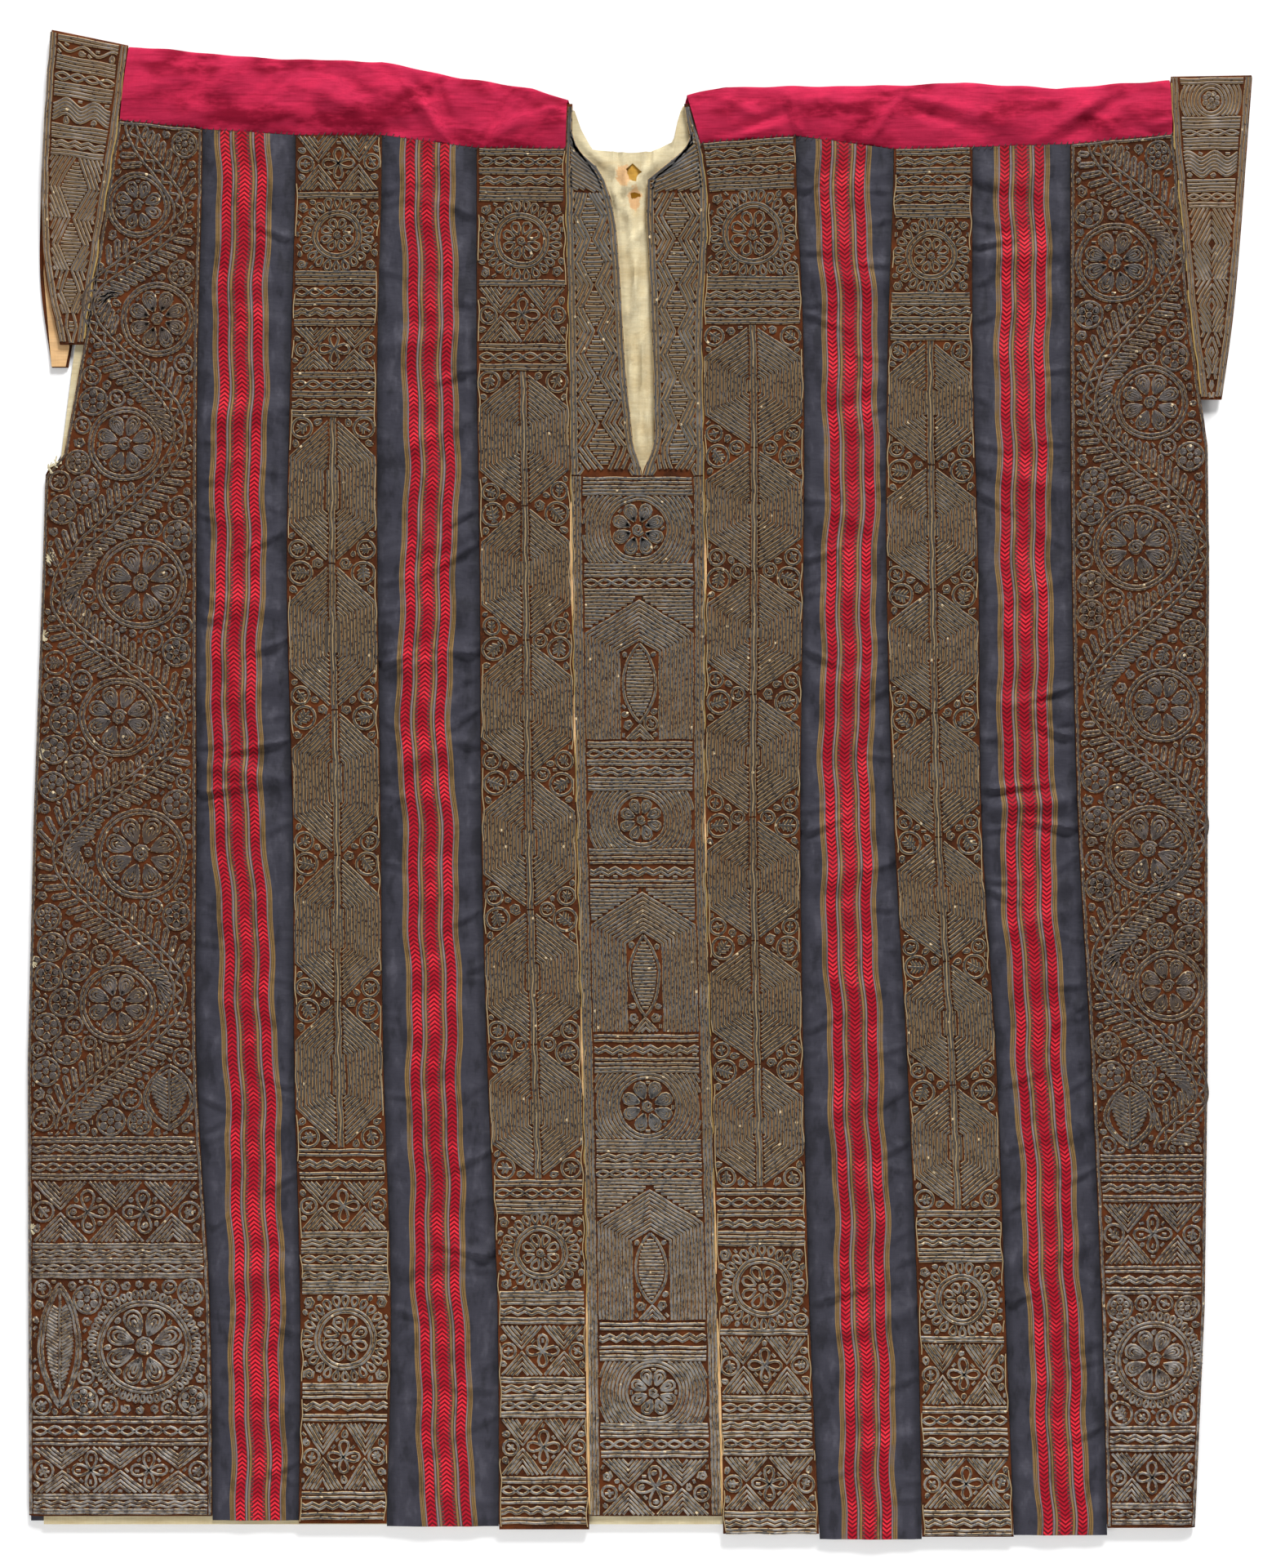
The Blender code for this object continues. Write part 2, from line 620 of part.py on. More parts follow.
def make_flat_cloths(materials, collection):
    """The back and the two linings, which lie flat under the front."""
    left = outer_line("left", BACK_HEM, ARMHOLE_FOOT["left"] - 3, BACK_INSET)
    left += [(x, y) for y, x in reversed(BACK_ARMHOLE_LEFT)]
    left += outer_line("left", 310, BACK_TOP, BACK_INSET)
    right = outer_line("right", BACK_HEM, BACK_TOP, BACK_INSET)
    make_plate("back", [left + right[::-1]], 0.0, BACK_WALL, materials["back"], collection)

    lining_left = outer_line("left", BACK_HEM, ARMHOLE_FOOT["left"] - 3, LINING_INSET)
    lining_left += [(x + SEAM_GAP, y) for y, x in reversed(BACK_ARMHOLE_LEFT)]
    lining_left += outer_line("left", 310, 430, LINING_INSET)
    lining_right = outer_line("right", BACK_HEM, 430, LINING_INSET)
    shoulders = lining_shoulder("left", BACK_NECK[0][0]), lining_shoulder("right", BACK_NECK[-1][0])
    outline = lining_left + shoulders[0][:-1] + list(BACK_NECK) + shoulders[1][-2::-1] + lining_right[::-1]
    cream = materials["lining"]
    make_plate("back_lining", [outline, rip_outline()], BACK_LINING_Z, LINING_WALL, cream, collection)

    front_left = outer_line("left", LINING_HEM, 430, LINING_INSET)
    front_right = outer_line("right", LINING_HEM, 430, LINING_INSET)
    neck = neck_outline(NECK_CUT[-1][0])[1:-1]
    shoulders = lining_shoulder("left", neck[0][0]), lining_shoulder("right", neck[-1][0])
    outline = front_left + shoulders[0] + neck[1:-1] + shoulders[1][::-1] + front_right[::-1]
    make_plate("front_lining", [outline], FRONT_LINING_Z, LINING_WALL, cream, collection)


def cut_neck(panel, material, cutters):
    """Cut the neck opening and slit out of the centre panel."""
    outline = neck_outline(NECK_CUT_TOP)
    rings = [[point(x, y, z) for x, y in outline] for z in (FRONT_LINING_Z, FRONT_Z + 3 * VELVET_WALL)]
    cutter = make_loft("neck_cutter", rings, whole_cap, material, cutters)
    cutter.hide_render = True
    cutter.display_type = "WIRE"
    cut = panel.modifiers.new("neck", "BOOLEAN")
    cut.operation = "DIFFERENCE"
    cut.solver = "EXACT"
    cut.object = cutter


def main():
    clear_scene()
    tunic = make_collection("bridal_tunic")
    cutters = make_collection("cutters")
    materials = {name: make_material(name) for name in FINISHES}
    make_flat_cloths(materials, tunic)
    for piece in EMBROIDERY:
        panel = make_band(piece, materials["velvet"], tunic)
        if piece == "center":
            cut_neck(panel, materials["velvet"], cutters)
    for piece in PUCKERS:
        make_ribbon(piece, materials["ribbon"], tunic)
    for side in ("left", "right"):
        make_side(side, materials["velvet"], tunic)
        make_shoulder(side, materials["shoulder"], tunic)
        make_sleeve(side, materials["velvet"], tunic)
    tan = materials["sleeve_lining"]
    make_plate("sleeve_lining_left", [SLEEVE_LINING_OUTLINE], SLEEVE_LINING_Z, LINING_WALL, tan, tunic)


main()
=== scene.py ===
"""Bridal tunic laid flat with its front up, dressed for looks.

Every cloth is a thin closed wall worked out on a grid. Every line of embroidery is a couched cord, a low
ridged profile carried along a path that lies on its cloth. Sizes are in millimetres until they reach a
mesh. Left and right are as seen from the front.
"""

import json
import math
from functools import partial

import bpy
import numpy as np
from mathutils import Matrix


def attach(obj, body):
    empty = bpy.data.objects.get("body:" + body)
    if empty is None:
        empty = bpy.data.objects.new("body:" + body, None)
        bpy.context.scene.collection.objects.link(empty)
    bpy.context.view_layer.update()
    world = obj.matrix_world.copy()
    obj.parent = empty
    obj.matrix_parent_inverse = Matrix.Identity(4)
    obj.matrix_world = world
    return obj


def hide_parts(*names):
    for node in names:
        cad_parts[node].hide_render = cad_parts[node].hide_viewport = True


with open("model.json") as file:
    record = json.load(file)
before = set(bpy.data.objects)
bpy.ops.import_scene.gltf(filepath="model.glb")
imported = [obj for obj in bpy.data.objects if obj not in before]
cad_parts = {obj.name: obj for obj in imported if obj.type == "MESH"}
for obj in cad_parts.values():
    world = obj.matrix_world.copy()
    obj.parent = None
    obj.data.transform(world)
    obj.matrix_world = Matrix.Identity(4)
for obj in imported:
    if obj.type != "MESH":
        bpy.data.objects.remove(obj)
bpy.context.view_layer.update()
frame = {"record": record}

bl_info = {
    "name": "Bridal tunic",
    "version": (1, 0, 0),
    "blender": (4, 5, 0),
    "location": "View3D > Sidebar > Tunic",
    "description": "A straight bridal tunic laid flat: corded velvet, striped ribbons and red shoulders",
    "category": "Object",
}

MM = 0.001
SLOT_COLOURS = {entry["slot"]: tuple(entry["base_color"]) for entry in frame["record"]["materials"]}

# Walls and heights of the layers, as the solids have them
SEAM_GAP = 0.3
BACK_WALL = 1.6
LINING_WALL = 1.0
RIBBON_WALL = 1.2
SHOULDER_WALL = 1.2
VELVET_WALL = 2.0
BACK_LINING_Z = BACK_WALL + SEAM_GAP
FRONT_LINING_Z = BACK_LINING_Z + LINING_WALL + SEAM_GAP
FRONT_Z = FRONT_LINING_Z + LINING_WALL + SEAM_GAP
VELVET_TOP = FRONT_Z + VELVET_WALL
ROLL_WIDTH = 8.0
ROLL_DROP = FRONT_Z - BACK_LINING_Z
ARMHOLE_FOOT = {"left": 214.0, "right": 243.0}
BACK_INSET = 1.0
LINING_INSET = 10.0
LINING_BELOW_FOLD = 6.0

FRONT_PIECES = (
    "side_left", "ribbon_outer_left", "band_outer_left", "ribbon_inner_left", "band_inner_left",
    "center",
    "band_inner_right", "ribbon_inner_right", "band_outer_right", "ribbon_outer_right", "side_right",
)

# Each row is a level up the garment: y, then the right edge of every front piece but the last
SEAMS = (
    (462, -295, -232, -174, -110, -49, 32, 105, 171, 224, 290),
    (429, -295, -232, -174, -110, -50, 41, 105, 171, 224, 290),
    (297, -298, -235, -177, -110, -48, 42, 110, 167, 224, 290),
    (143, -299, -238, -177, -108, -46, 44, 110, 166, 228, 291),
    (-22, -299, -234, -175, -107, -43, 44, 108, 171, 230, 295),
    (-187, -299, -233, -173, -103, -39, 48, 110, 180, 240, 304),
    (-352, -290, -229, -168, -96, -36, 52, 114, 187, 246, 311),
    (-510, -288, -230, -171, -95, -34, 56, 121, 190, 252, 315),
)
# Armhole seam and outer edge of each side: y, x
OUTER = {
    "left": (
        (500, -344.5), (447, -351), (295, -375), (223, -388), (217, -390), (212, -401), (143, -403),
        (-22, -409), (-187, -413), (-510, -412),
    ),
    "right": (
        (480, 357), (438, 359), (374, 365), (319, 370), (258, 378), (228, 383), (143, 384),
        (-22, 383), (-187, 383), (-352, 381), (-510, 374),
    ),
}
# Top corners of each front piece, left and right, and its hem
TOP_CORNERS = {
    "side_left": (447, 441), "ribbon_outer_left": (441, 437), "band_outer_left": (437, 437),
    "ribbon_inner_left": (437, 428.5), "band_inner_left": (428.5, 428), "center": (458, 458),
    "band_inner_right": (431.5, 436.5), "ribbon_inner_right": (436.5, 427.5),
    "band_outer_right": (427.5, 429), "ribbon_outer_right": (429, 431), "side_right": (431, 437.5),
}
HEMS = {
    "side_left": -493, "ribbon_outer_left": -496, "band_outer_left": -498, "ribbon_inner_left": -500,
    "band_inner_left": -502, "center": -493, "band_inner_right": -505, "ribbon_inner_right": -508.7,
    "band_outer_right": -507, "ribbon_outer_right": -506, "side_right": -501,
}
LINING_HEM = -499
BACK_HEM = -497
BACK_TOP = 425
# Fold line over each shoulder: x, y
FOLD = {
    "left": ((-345, 497), (-261, 489.5), (-178, 487), (-123, 476), (-74, 469), (-49, 460.5)),
    "right": ((32, 463), (64, 470), (174, 471), (223, 473), (284, 469), (357, 474.5)),
}
# Neck opening and front slit: y, left edge, right edge
NECK_CUT = (
    (211, 1.2, 2.0), (228, -4.5, 9.6), (280, -9.9, 9.0), (347, -13.8, 6.2), (375, -16, 4.5),
    (394, -19.5, 4.2), (407, -24, 5), (415, -29, 15), (430, -45.7, 34), (462, -45.5, 29),
)
SLIT_FOOT = 211
# Back neckline, a scoop between the shoulders: x, y
BACK_NECK = (
    (-45.5, 454), (-40.7, 442), (-32, 427.5), (-9.5, 425.5), (8, 426.3), (22.5, 433), (25.3, 451),
    (28, 457),
)
SHOULDER_BACK_NECK = {"left": ((425, -35.5), (460, -47.5)), "right": ((425, 24.5), (463, 31))}
BACK_ARMHOLE_LEVELS = (212, 310)
BACK_ARMHOLE_LEFT = ((300, -379.5), (294, -381.7), (220, -391))

# Embroidery down each velvet strip, from its top edge: motif, how many, length of them all
EMBROIDERY = {
    "band_outer_left": (
        ("points", 1, 38), ("disc", 1, 58), ("border", 1, 33), ("points", 1, 30), ("border", 1, 31),
        ("hexagon", 5, 492), ("border", 1, 22), ("points", 1, 34), ("border", 1, 38), ("disc", 1, 69),
        ("border", 1, 22), ("points", 1, 46), ("border", 1, 20),
    ),
    "band_inner_left": (
        ("border", 1, 31), ("disc", 1, 62), ("points", 1, 38), ("border", 1, 19), ("hexagon", 6, 544),
        ("border", 1, 19), ("disc", 1, 61), ("border", 1, 18), ("points", 1, 35), ("border", 1, 28),
        ("points", 1, 39), ("border", 1, 33),
    ),
    "band_inner_right": (
        ("border", 1, 28), ("disc", 1, 66), ("border", 1, 28), ("hexagon", 7, 581), ("border", 1, 35),
        ("disc", 1, 65), ("points", 1, 40), ("border", 1, 41), ("points", 1, 37), ("border", 1, 16),
    ),
    "band_outer_right": (
        ("border", 1, 42), ("disc", 1, 59), ("border", 1, 28), ("hexagon", 7, 585), ("border", 1, 31),
        ("disc", 1, 59), ("points", 1, 42), ("border", 1, 35), ("points", 1, 35), ("border", 1, 18),
    ),
    "center": (
        ("border", 1, 8), ("wheel", 1, 55), ("border", 1, 17), ("niche", 1, 98), ("border", 1, 29),
        ("wheel", 1, 48), ("border", 1, 22), ("niche", 1, 98), ("border", 1, 22), ("wheel", 1, 54),
        ("border", 1, 26), ("niche", 1, 92), ("border", 1, 22), ("wheel", 1, 51), ("border", 1, 19),
        ("points", 1, 39),
    ),
}
CENTER_TOP = 207
SLEEVE_EMBROIDERY = {
    "left": (
        ("scroll", 1, 18), ("border", 1, 17), ("scroll", 1, 27), ("border", 1, 16), ("lattice", 1, 40),
        ("lattice", 1, 34), ("lattice", 1, 28), ("lattice", 1, 19),
    ),
    "right": (
        ("wheel", 1, 31), ("border", 1, 13), ("scroll", 1, 29), ("border", 1, 15), ("nest", 1, 48),
        ("nest", 1, 35), ("nest", 1, 28), ("nest", 1, 16),
    ),
}
# The side panels' vine: its turning points, x, y, then rosettes in its bends: x, y, radius
VINES = {
    "side_left": (
        (-343, 441), (-310, 385), (-372, 324), (-310, 239), (-393, 126), (-310, 40), (-392, -47),
        (-310, -140), (-390, -234),
    ),
    "side_right": (
        (306, 431), (364, 363), (303, 258), (379, 160), (303, 62), (379, -28), (308, -121), (379, -209),
        (350, -246),
    ),
}
ROSETTES = {
    "side_left": (
        (-338, 389, 22), (-325, 313, 26), (-347, 229, 26), (-336, 135, 32), (-351, 45, 28),
        (-336, -47, 32), (-352, -148, 27),
    ),
    "side_right": (
        (320, 351, 28), (344, 257, 26), (334, 159, 30), (352, 53, 26), (343, -44, 31), (356, -136, 25),
    ),
}
# Leaves below the vine: foot x, y, length, width
LEAVES = {"side_left": ((-317, -233, 44, 34),), "side_right": ((330, -245, 44, 34),)}
# Borders across the foot of the side panels, from the level of their top
SIDE_BORDER_TOP = {"side_left": -237, "side_right": -249}
SIDE_BORDERS = {
    "side_left": (
        ("border", 30), ("points", 42), ("border", 24), ("medallion", 92), ("border", 21), ("points", 32),
        ("border", 14),
    ),
    "side_right": (
        ("border", 33), ("points", 42), ("border", 20), ("medallion", 88), ("border", 18), ("points", 34),
        ("border", 15),
    ),
}
SIDE_MEDALLIONS = {"side_left": (-334, -379, 31), "side_right": (346.5, -388, 25.5)}
SIDE_PALMS = {"side_left": ((-391, -420, 84, 28),), "side_right": ()}

# Crosswise puckers in the ribbons: y, rise, half length, slope across the ribbon
PUCKERS = {
    "ribbon_outer_left": (
        (250, 1.3, 12, 0.1), (121, 1.5, 10, -0.2), (8, 2.6, 9, -0.2), (-330, 1.3, 14, 0.2),
        (318, 0.8, 8, -0.3), (62, 0.9, 8, 0.3), (-150, 0.8, 9, -0.3), (-236, 1.0, 10, 0.3),
        (-412, 0.8, 9, -0.2),
    ),
    "ribbon_inner_left": (
        (300, 1.3, 12, 0.2), (160, 1.7, 12, 0.3), (84, 2.0, 10, 0.2), (-322, 2.0, 10, 0.2),
        (392, 0.8, 8, -0.3), (232, 0.9, 8, 0.5), (20, 1.0, 9, 0.4), (-120, 0.8, 10, 0.3),
        (-212, 1.0, 9, 0.4), (-402, 0.9, 9, -0.3),
    ),
    "ribbon_inner_right": (
        (340, 1.3, 12, -0.2), (70, 1.5, 12, 0.1), (-60, 1.3, 12, 0.2), (-364, 2.0, 11, 0.3),
        (404, 0.8, 8, 0.3), (262, 0.9, 10, 0.3), (180, 0.9, 9, -0.4), (-136, 0.9, 9, -0.2),
        (-216, 1.0, 10, 0.4), (-446, 1.0, 9, 0.3),
    ),
    "ribbon_outer_right": (
        (357, 1.3, 10, 0.1), (52, 1.7, 10, -0.2), (-14, 2.6, 9, 0.1), (-236, 1.7, 12, 0.2),
        (402, 0.8, 8, -0.3), (206, 1.0, 10, -0.3), (128, 0.9, 8, 0.4), (-92, 1.0, 9, 0.3),
        (-318, 1.0, 10, 0.3), (-408, 0.9, 9, -0.3),
    ),
}
RIBBON_WIDTH = 64.0
# Narrow creases in from a ribbon's edge: level at the edge, edge, reach, slope, rise
CREASES = {
    "ribbon_outer_left": (
        (366, 1, 36, 0.4, 1.7), (171, 1, 42, -0.5, 2.0), (96, 1, 34, -0.3, 1.7), (30, 1, 62, -0.2, 2.2),
        (-6, -1, 56, 0.15, 2.2), (-262, 1, 36, -0.5, 1.7), (-300, -1, 28, 0.6, 1.5), (-372, 1, 31, 0.5, 1.7),
        (-456, 1, 36, -0.4, 1.7),
    ),
    "ribbon_inner_left": (
        (281, 1, 36, -0.4, 2.0), (187, 1, 34, -0.6, 2.0), (163, 1, 48, -0.6, 2.2), (80, -1, 48, 0.35, 2.2),
        (88, 1, 42, 0.1, 2.0), (52, 1, 34, -0.7, 2.0), (-84, 1, 36, -0.5, 1.7), (-246, 1, 39, -0.5, 2.0),
        (-318, 1, 56, 0.2, 2.2), (-352, -1, 31, -0.4, 1.7), (-424, 1, 34, -0.5, 1.7),
    ),
    "ribbon_inner_right": (
        (398, -1, 34, 0.5, 1.7), (318, -1, 36, -0.4, 1.7), (150, -1, 36, 0.4, 1.7), (92, -1, 34, -0.5, 1.7),
        (-34, -1, 39, 0.4, 2.0), (-168, -1, 34, 0.5, 1.7), (-240, 1, 31, -0.5, 1.7), (-350, -1, 53, 0.3, 2.2),
        (-398, 1, 34, -0.4, 1.7), (-470, -1, 31, 0.4, 1.7),
    ),
    "ribbon_outer_right": (
        (362, -1, 36, 0.2, 2.0), (66, 1, 48, -0.3, 2.2), (30, 1, 36, 0.4, 2.0), (-4, -1, 59, 0.1, 2.2),
        (-30, 1, 56, 0.15, 2.2), (-70, -1, 31, -0.4, 1.7), (-205, -1, 36, 0.4, 1.7), (-258, 1, 31, -0.5, 1.7),
        (-350, -1, 34, 0.4, 1.7), (-432, 1, 34, -0.4, 1.7),
    ),
}
SLIGHT_CREASES = 48
PUCKER_RISE = 1.5
CREASE_RISE = 1.9
RIBBON_CROWN = 1.3
DEEPEST_TROUGH = -0.1
CREASE_WIDTH = 2.4
# Middle of each ribbon's woven stripes: y, x
STRIPES = {
    "ribbon_outer_left": (
        (418, -267), (143, -271.4), (11, -273.1), (-55, -268.7), (-319, -258.8), (-489, -257.4),
    ),
    "ribbon_inner_left": (
        (418, -142.7), (143, -142.2), (77, -145.5), (-55, -141.1), (-319, -135.9), (-489, -129),
    ),
    "ribbon_inner_right": ((418, 136.1), (253, 142.2), (11, 139.2), (-319, 149.9), (-489, 154.6)),
    "ribbon_outer_right": ((418, 257.7), (143, 258.8), (-55, 262.1), (-319, 277.5), (-489, 285.2)),
}

# Slanting folds in the shoulder cloth and swells of the velvet: x, y, rise, half width, slope of the crest
SHOULDER_FOLDS = {
    "left": (
        (-278, 482, 1.8, 12, 1.2), (-230, 482, -1.6, 5, 0.9), (-293, 463, -1.4, 9, -0.1),
        (-196, 474, -2.0, 9, -1.0), (-205, 462, 2.0, 7, -0.35), (-160, 476, -2.6, 7, -0.8),
        (-149, 460, 3.0, 7, -1.4), (-131, 452, -2.0, 12, -4.0), (-90, 457, -2.0, 6, 1.6),
        (-72, 467, -1.8, 4, 1.2), (-80, 447, 1.8, 6, 0.5), (-107, 450, -1.6, 8, 0.1),
        (-178, 446, 1.4, 5, 0.1), (-318, 472, 1.6, 7, 0.25), (-240, 452, 1.4, 6, 0.2),
        (-62, 452, 1.4, 5, 0.9),
    ),
    "right": (
        (101, 456, 1.6, 9, -3.0), (82, 445, -2.2, 5, 0.36), (76, 439, 1.8, 4, 0.36),
        (200, 451, -2.8, 6, -0.33), (190, 460, 2.2, 5, -0.33), (165, 449, 1.8, 6, 1.4),
        (170, 463, -1.2, 3, -0.05), (307, 449, -2.4, 7, 0.7), (296, 452, 2.0, 6, 0.7),
        (350, 444, 1.4, 3, 0.3), (344, 440, -1.2, 3, -0.2), (251, 460, -1.4, 6, 0.2),
        (235, 447, 1.6, 7, -0.3), (64, 458, 1.4, 4, -0.5), (130, 460, 1.2, 7, -0.2),
    ),
}
SLIGHT_FOLDS = 18
SHOULDER_CROWN = 3.6
SHOULDER_FOLD_RISE = 1.5
NECK_WRINKLE_RISE = 1.7
# Wrinkles of the back's lining where the neck and the slit bare it, in the same form
NECK_WRINKLES = (
    (-9, 400, 1.8, 26, -11.0), (-2, 350, 1.6, 30, 14.0), (-12, 330, 1.3, 24, -16.0), (2, 290, 1.3, 26, 18.0),
    (-24, 420, 1.5, 3.5, -0.8), (8, 416, 1.4, 3.5, 0.7), (-4, 404, 1.6, 3.0, 0.3), (-14, 392, 1.4, 3.0, -1.4),
    (0, 372, 1.2, 3.0, 1.2), (-8, 318, 1.0, 3.5, 0.9), (-30, 436, 1.1, 3.0, -1.2), (18, 430, 1.1, 3.0, 1.0),
)
# Rip in that lining, as in the CAD: centre x, centre y, half width, half height
NECK_RIP = (-3.9, 412.3, 5.7, 6.4)
# Corners round the rip: share of a turn from its right, reach as a share of the half sizes
RIP_CORNERS = (
    (0.0, 1.0), (0.115, 0.65), (0.28, 1.02), (0.45, 1.04), (0.526, 0.87), (0.637, 0.93), (0.787, 1.01),
    (0.887, 0.5),
)
# Worn places of that lining: x, y, half width, half height, depth of the slot in its middle, painted dark as
# the layer beneath in painted shade
NECK_WEAR = ((-11.0, 410.6, 3.8, 5.4, 0.0), (-3.5, 394.6, 2.9, 5.8, 0.0), (-3.4, 396.8, 3.9, 2.2, 1.0))
SWELLS = {
    "side_left": (
        (-345, 415, 0.6, 16, 0.3), (-330, 180, 0.7, 22, -0.2), (-360, -10, 0.6, 18, 0.2),
        (-340, -205, 0.8, 16, 0.1), (-350, -330, 0.5, 14, -0.1),
    ),
    "side_right": (
        (330, 405, 0.6, 14, -0.3), (345, 210, 0.7, 20, 0.2), (330, 10, 0.6, 18, -0.2),
        (350, -190, 0.8, 16, 0.15), (345, -340, 0.5, 14, 0.1),
    ),
    "band_outer_left": ((-205, 330, 0.6, 20, 0.1), (-205, 20, 0.7, 24, -0.1), (-200, -300, 0.6, 20, 0.1)),
    "band_inner_left": ((-80, 260, 0.6, 22, -0.1), (-75, -60, 0.6, 22, 0.1), (-68, -380, 0.7, 18, 0.1)),
    "band_inner_right": ((75, 290, 0.6, 20, 0.1), (76, -20, 0.7, 22, -0.1), (84, -330, 0.6, 20, 0.1)),
    "band_outer_right": ((196, 320, 0.6, 20, -0.1), (202, 40, 0.6, 24, 0.1), (214, -280, 0.7, 20, 0.1)),
    "center": ((0, 60, 0.6, 26, 0.05), (4, -150, 0.7, 24, -0.05), (8, -400, 0.6, 22, 0.05)),
}

# Where the lining shows in the centre's seams: the seam's side, lower and upper level, width
LINING_GLIMPSES = (
    ("left", 112, 190, 1.9), ("right", 128, 166, 1.9), ("left", 20, 60, 0.9), ("right", -60, -10, 1.0),
    ("left", -210, -150, 1.0), ("right", -330, -270, 1.1), ("left", -488, -345, 2.0),
    ("right", -488, -360, 2.0),
)
# Frayed places of the side panels' outer edges: x, y
FRAYS = ((-398, 213), (-394, 217), (-399, 152), (-402.5, 100), (-404, 20), (-410, -120), (-411, -300))

# Sleeve bands, rows down from the fold: share of the length, front outer x, back outer x, back inner x
SLEEVES = {
    "left": (
        (0.0, -396.6, -397, -345.5), (0.25, -401, -402, -356), (0.5, -403.5, -404.5, -366),
        (0.75, -401.5, -404.5, -377), (1.0, -391, -397, -386),
    ),
    "right": (
        (0.0, 412.5, 412, 358.5), (0.25, 408.5, 408, 364), (0.5, 404.5, 404, 370),
        (0.75, 399.5, 399, 376), (1.0, 392, 391, 381),
    ),
}
# The fold's level at the outer and inner edge, then the foot of the front and of the back half
SLEEVE_LEVELS = {"left": (508.7, 498, 296, 281), "right": (478, 477, 259, 262)}
SLEEVE_OUTER_DROP = 0.8
# The sleeve lining that shows past the left band: y, left edge, right edge
SLEEVE_LINING = (
    (281.5, -397, -387.5), (294, -398.1, -385), (346, -402.5, -385), (350, -402.1, -385), (372, -400, -399),
)
SLEEVE_LINING_Z = VELVET_WALL + SEAM_GAP

# Spacing of the couched cords, the bare edge of a strip and the clearance of a filling from its neighbours
CORD_PITCH = 2.4
SLIT_PITCH = 3.0
EDGE_MARGIN = 1.6
FILL_CLEAR = 2.1
FILL_CELL = 0.8
FILL_WINDOW = 32
FOLD_ROWS = 12

# Lights: name, place in metres, size in metres, power in watts
LIGHTS = (
    ("key", (1.6, 6.4, 3.6), 2.4, 900), ("fill", (-4.4, -3.2, 4.6), 3.0, 200),
    ("foot", (0.1, -1.25, 0.45), 0.9, 5),
)
SKY_STRENGTH = 0.34
SENSOR_WIDTH = 36.0
FRAME_HEIGHT = 1.056
FRAME_MIDDLE_X = 1.65


class TunicSizes(bpy.types.PropertyGroup):
    """Sizes of the trimmings that a user may change."""

    cord_width: bpy.props.FloatProperty(
        name="Cord width", description="Width of a couched cord", default=2.05 * MM, unit="LENGTH")
    cord_rise: bpy.props.FloatProperty(
        name="Cord rise", description="Height of a couched cord above its cloth", default=1.2 * MM,
        unit="LENGTH")
    thread_width: bpy.props.FloatProperty(
        name="Thread width", description="Width of a sewing thread", default=0.7 * MM, unit="LENGTH")
    camera_lens: bpy.props.FloatProperty(
        name="Lens", description="Focal length of the camera in millimetres", default=85.0)


def colour_property(name, description, default):
    """A colour that a user may change."""
    return bpy.props.FloatVectorProperty(name=name, description=description, subtype="COLOR", default=default)


class TunicColours(bpy.types.PropertyGroup):
    """Colours of the cloths and trimmings that a user may change."""

    velvet: colour_property("Velvet", "Bare velvet", SLOT_COLOURS["velvet"])
    navy: colour_property("Ribbon ground", "Dark blue silk", (0.034, 0.033, 0.045))
    stripe_red: colour_property("Stripe red", "Woven red of the ribbons", (0.36, 0.002, 0.014))
    stripe_tan: colour_property("Stripe tan", "Woven tan of the ribbons", (0.215, 0.128, 0.045))
    stripe_grey: colour_property("Stripe grey", "Woven grey of the ribbons", (0.19, 0.138, 0.150))
    shoulder: colour_property("Shoulder", "Crimson cotton", SLOT_COLOURS["shoulder"])
    lining: colour_property("Lining", "Cream lining", SLOT_COLOURS["lining"])
    sleeve_lining: colour_property("Sleeve lining", "Tan lining", SLOT_COLOURS["sleeve_lining"])
    back: colour_property("Back", "Dark cloth of the back", SLOT_COLOURS["back"])
    cord_band: colour_property("Band cord", "Tarnished cord of the bands", (0.040, 0.036, 0.034))
    cord_side: colour_property("Side cord", "Browner cord of the sides", (0.056, 0.045, 0.041))
    cord_center: colour_property("Centre cord", "Greyer cord of the centre", (0.064, 0.061, 0.060))
    cord_sleeve: colour_property("Sleeve cord", "Paler cord of the sleeves", (0.105, 0.088, 0.078))
    gold_thread: colour_property("Gold thread", "Thread that edges the cords", (0.43, 0.305, 0.152))
    yellow_thread: colour_property("Yellow thread", "Thread along the seams", (0.42, 0.28, 0.075))
    dark_thread: colour_property("Dark thread", "Sewing thread", (0.05, 0.03, 0.03))


def read_along(table, at, column=1):
    """Straight-line reading of a table's column at values of its first column."""
    rows = np.array(sorted(table), dtype=float)
    return np.interp(at, rows[:, 0], rows[:, column])


def smooth_along(table, at, column):
    """Reading on a smooth curve: the cubic through two rows that has the table's slope at both."""
    rows = np.array(sorted(table), dtype=float)
    keys, values = rows[:, 0], rows[:, column]
    slopes = np.gradient(values, keys)
    low = np.clip(np.searchsorted(keys, at) - 1, 0, len(keys) - 2)
    span = keys[low + 1] - keys[low]
    t = (at - keys[low]) / span
    start = (1 + 2 * t) * (1 - t) ** 2 * values[low] + t * (1 - t) ** 2 * span * slopes[low]
    end = t * t * (3 - 2 * t) * values[low + 1] + t * t * (t - 1) * span * slopes[low + 1]
    return start + end


def seam_x(index, y):
    """Seam on the right of the front piece of that index, or the outer edge before and after them all."""
    if index < 0:
        return read_along(OUTER["left"], y)
    if index == len(FRONT_PIECES) - 1:
        return read_along(OUTER["right"], y)
    return smooth_along(SEAMS, y, index + 1)


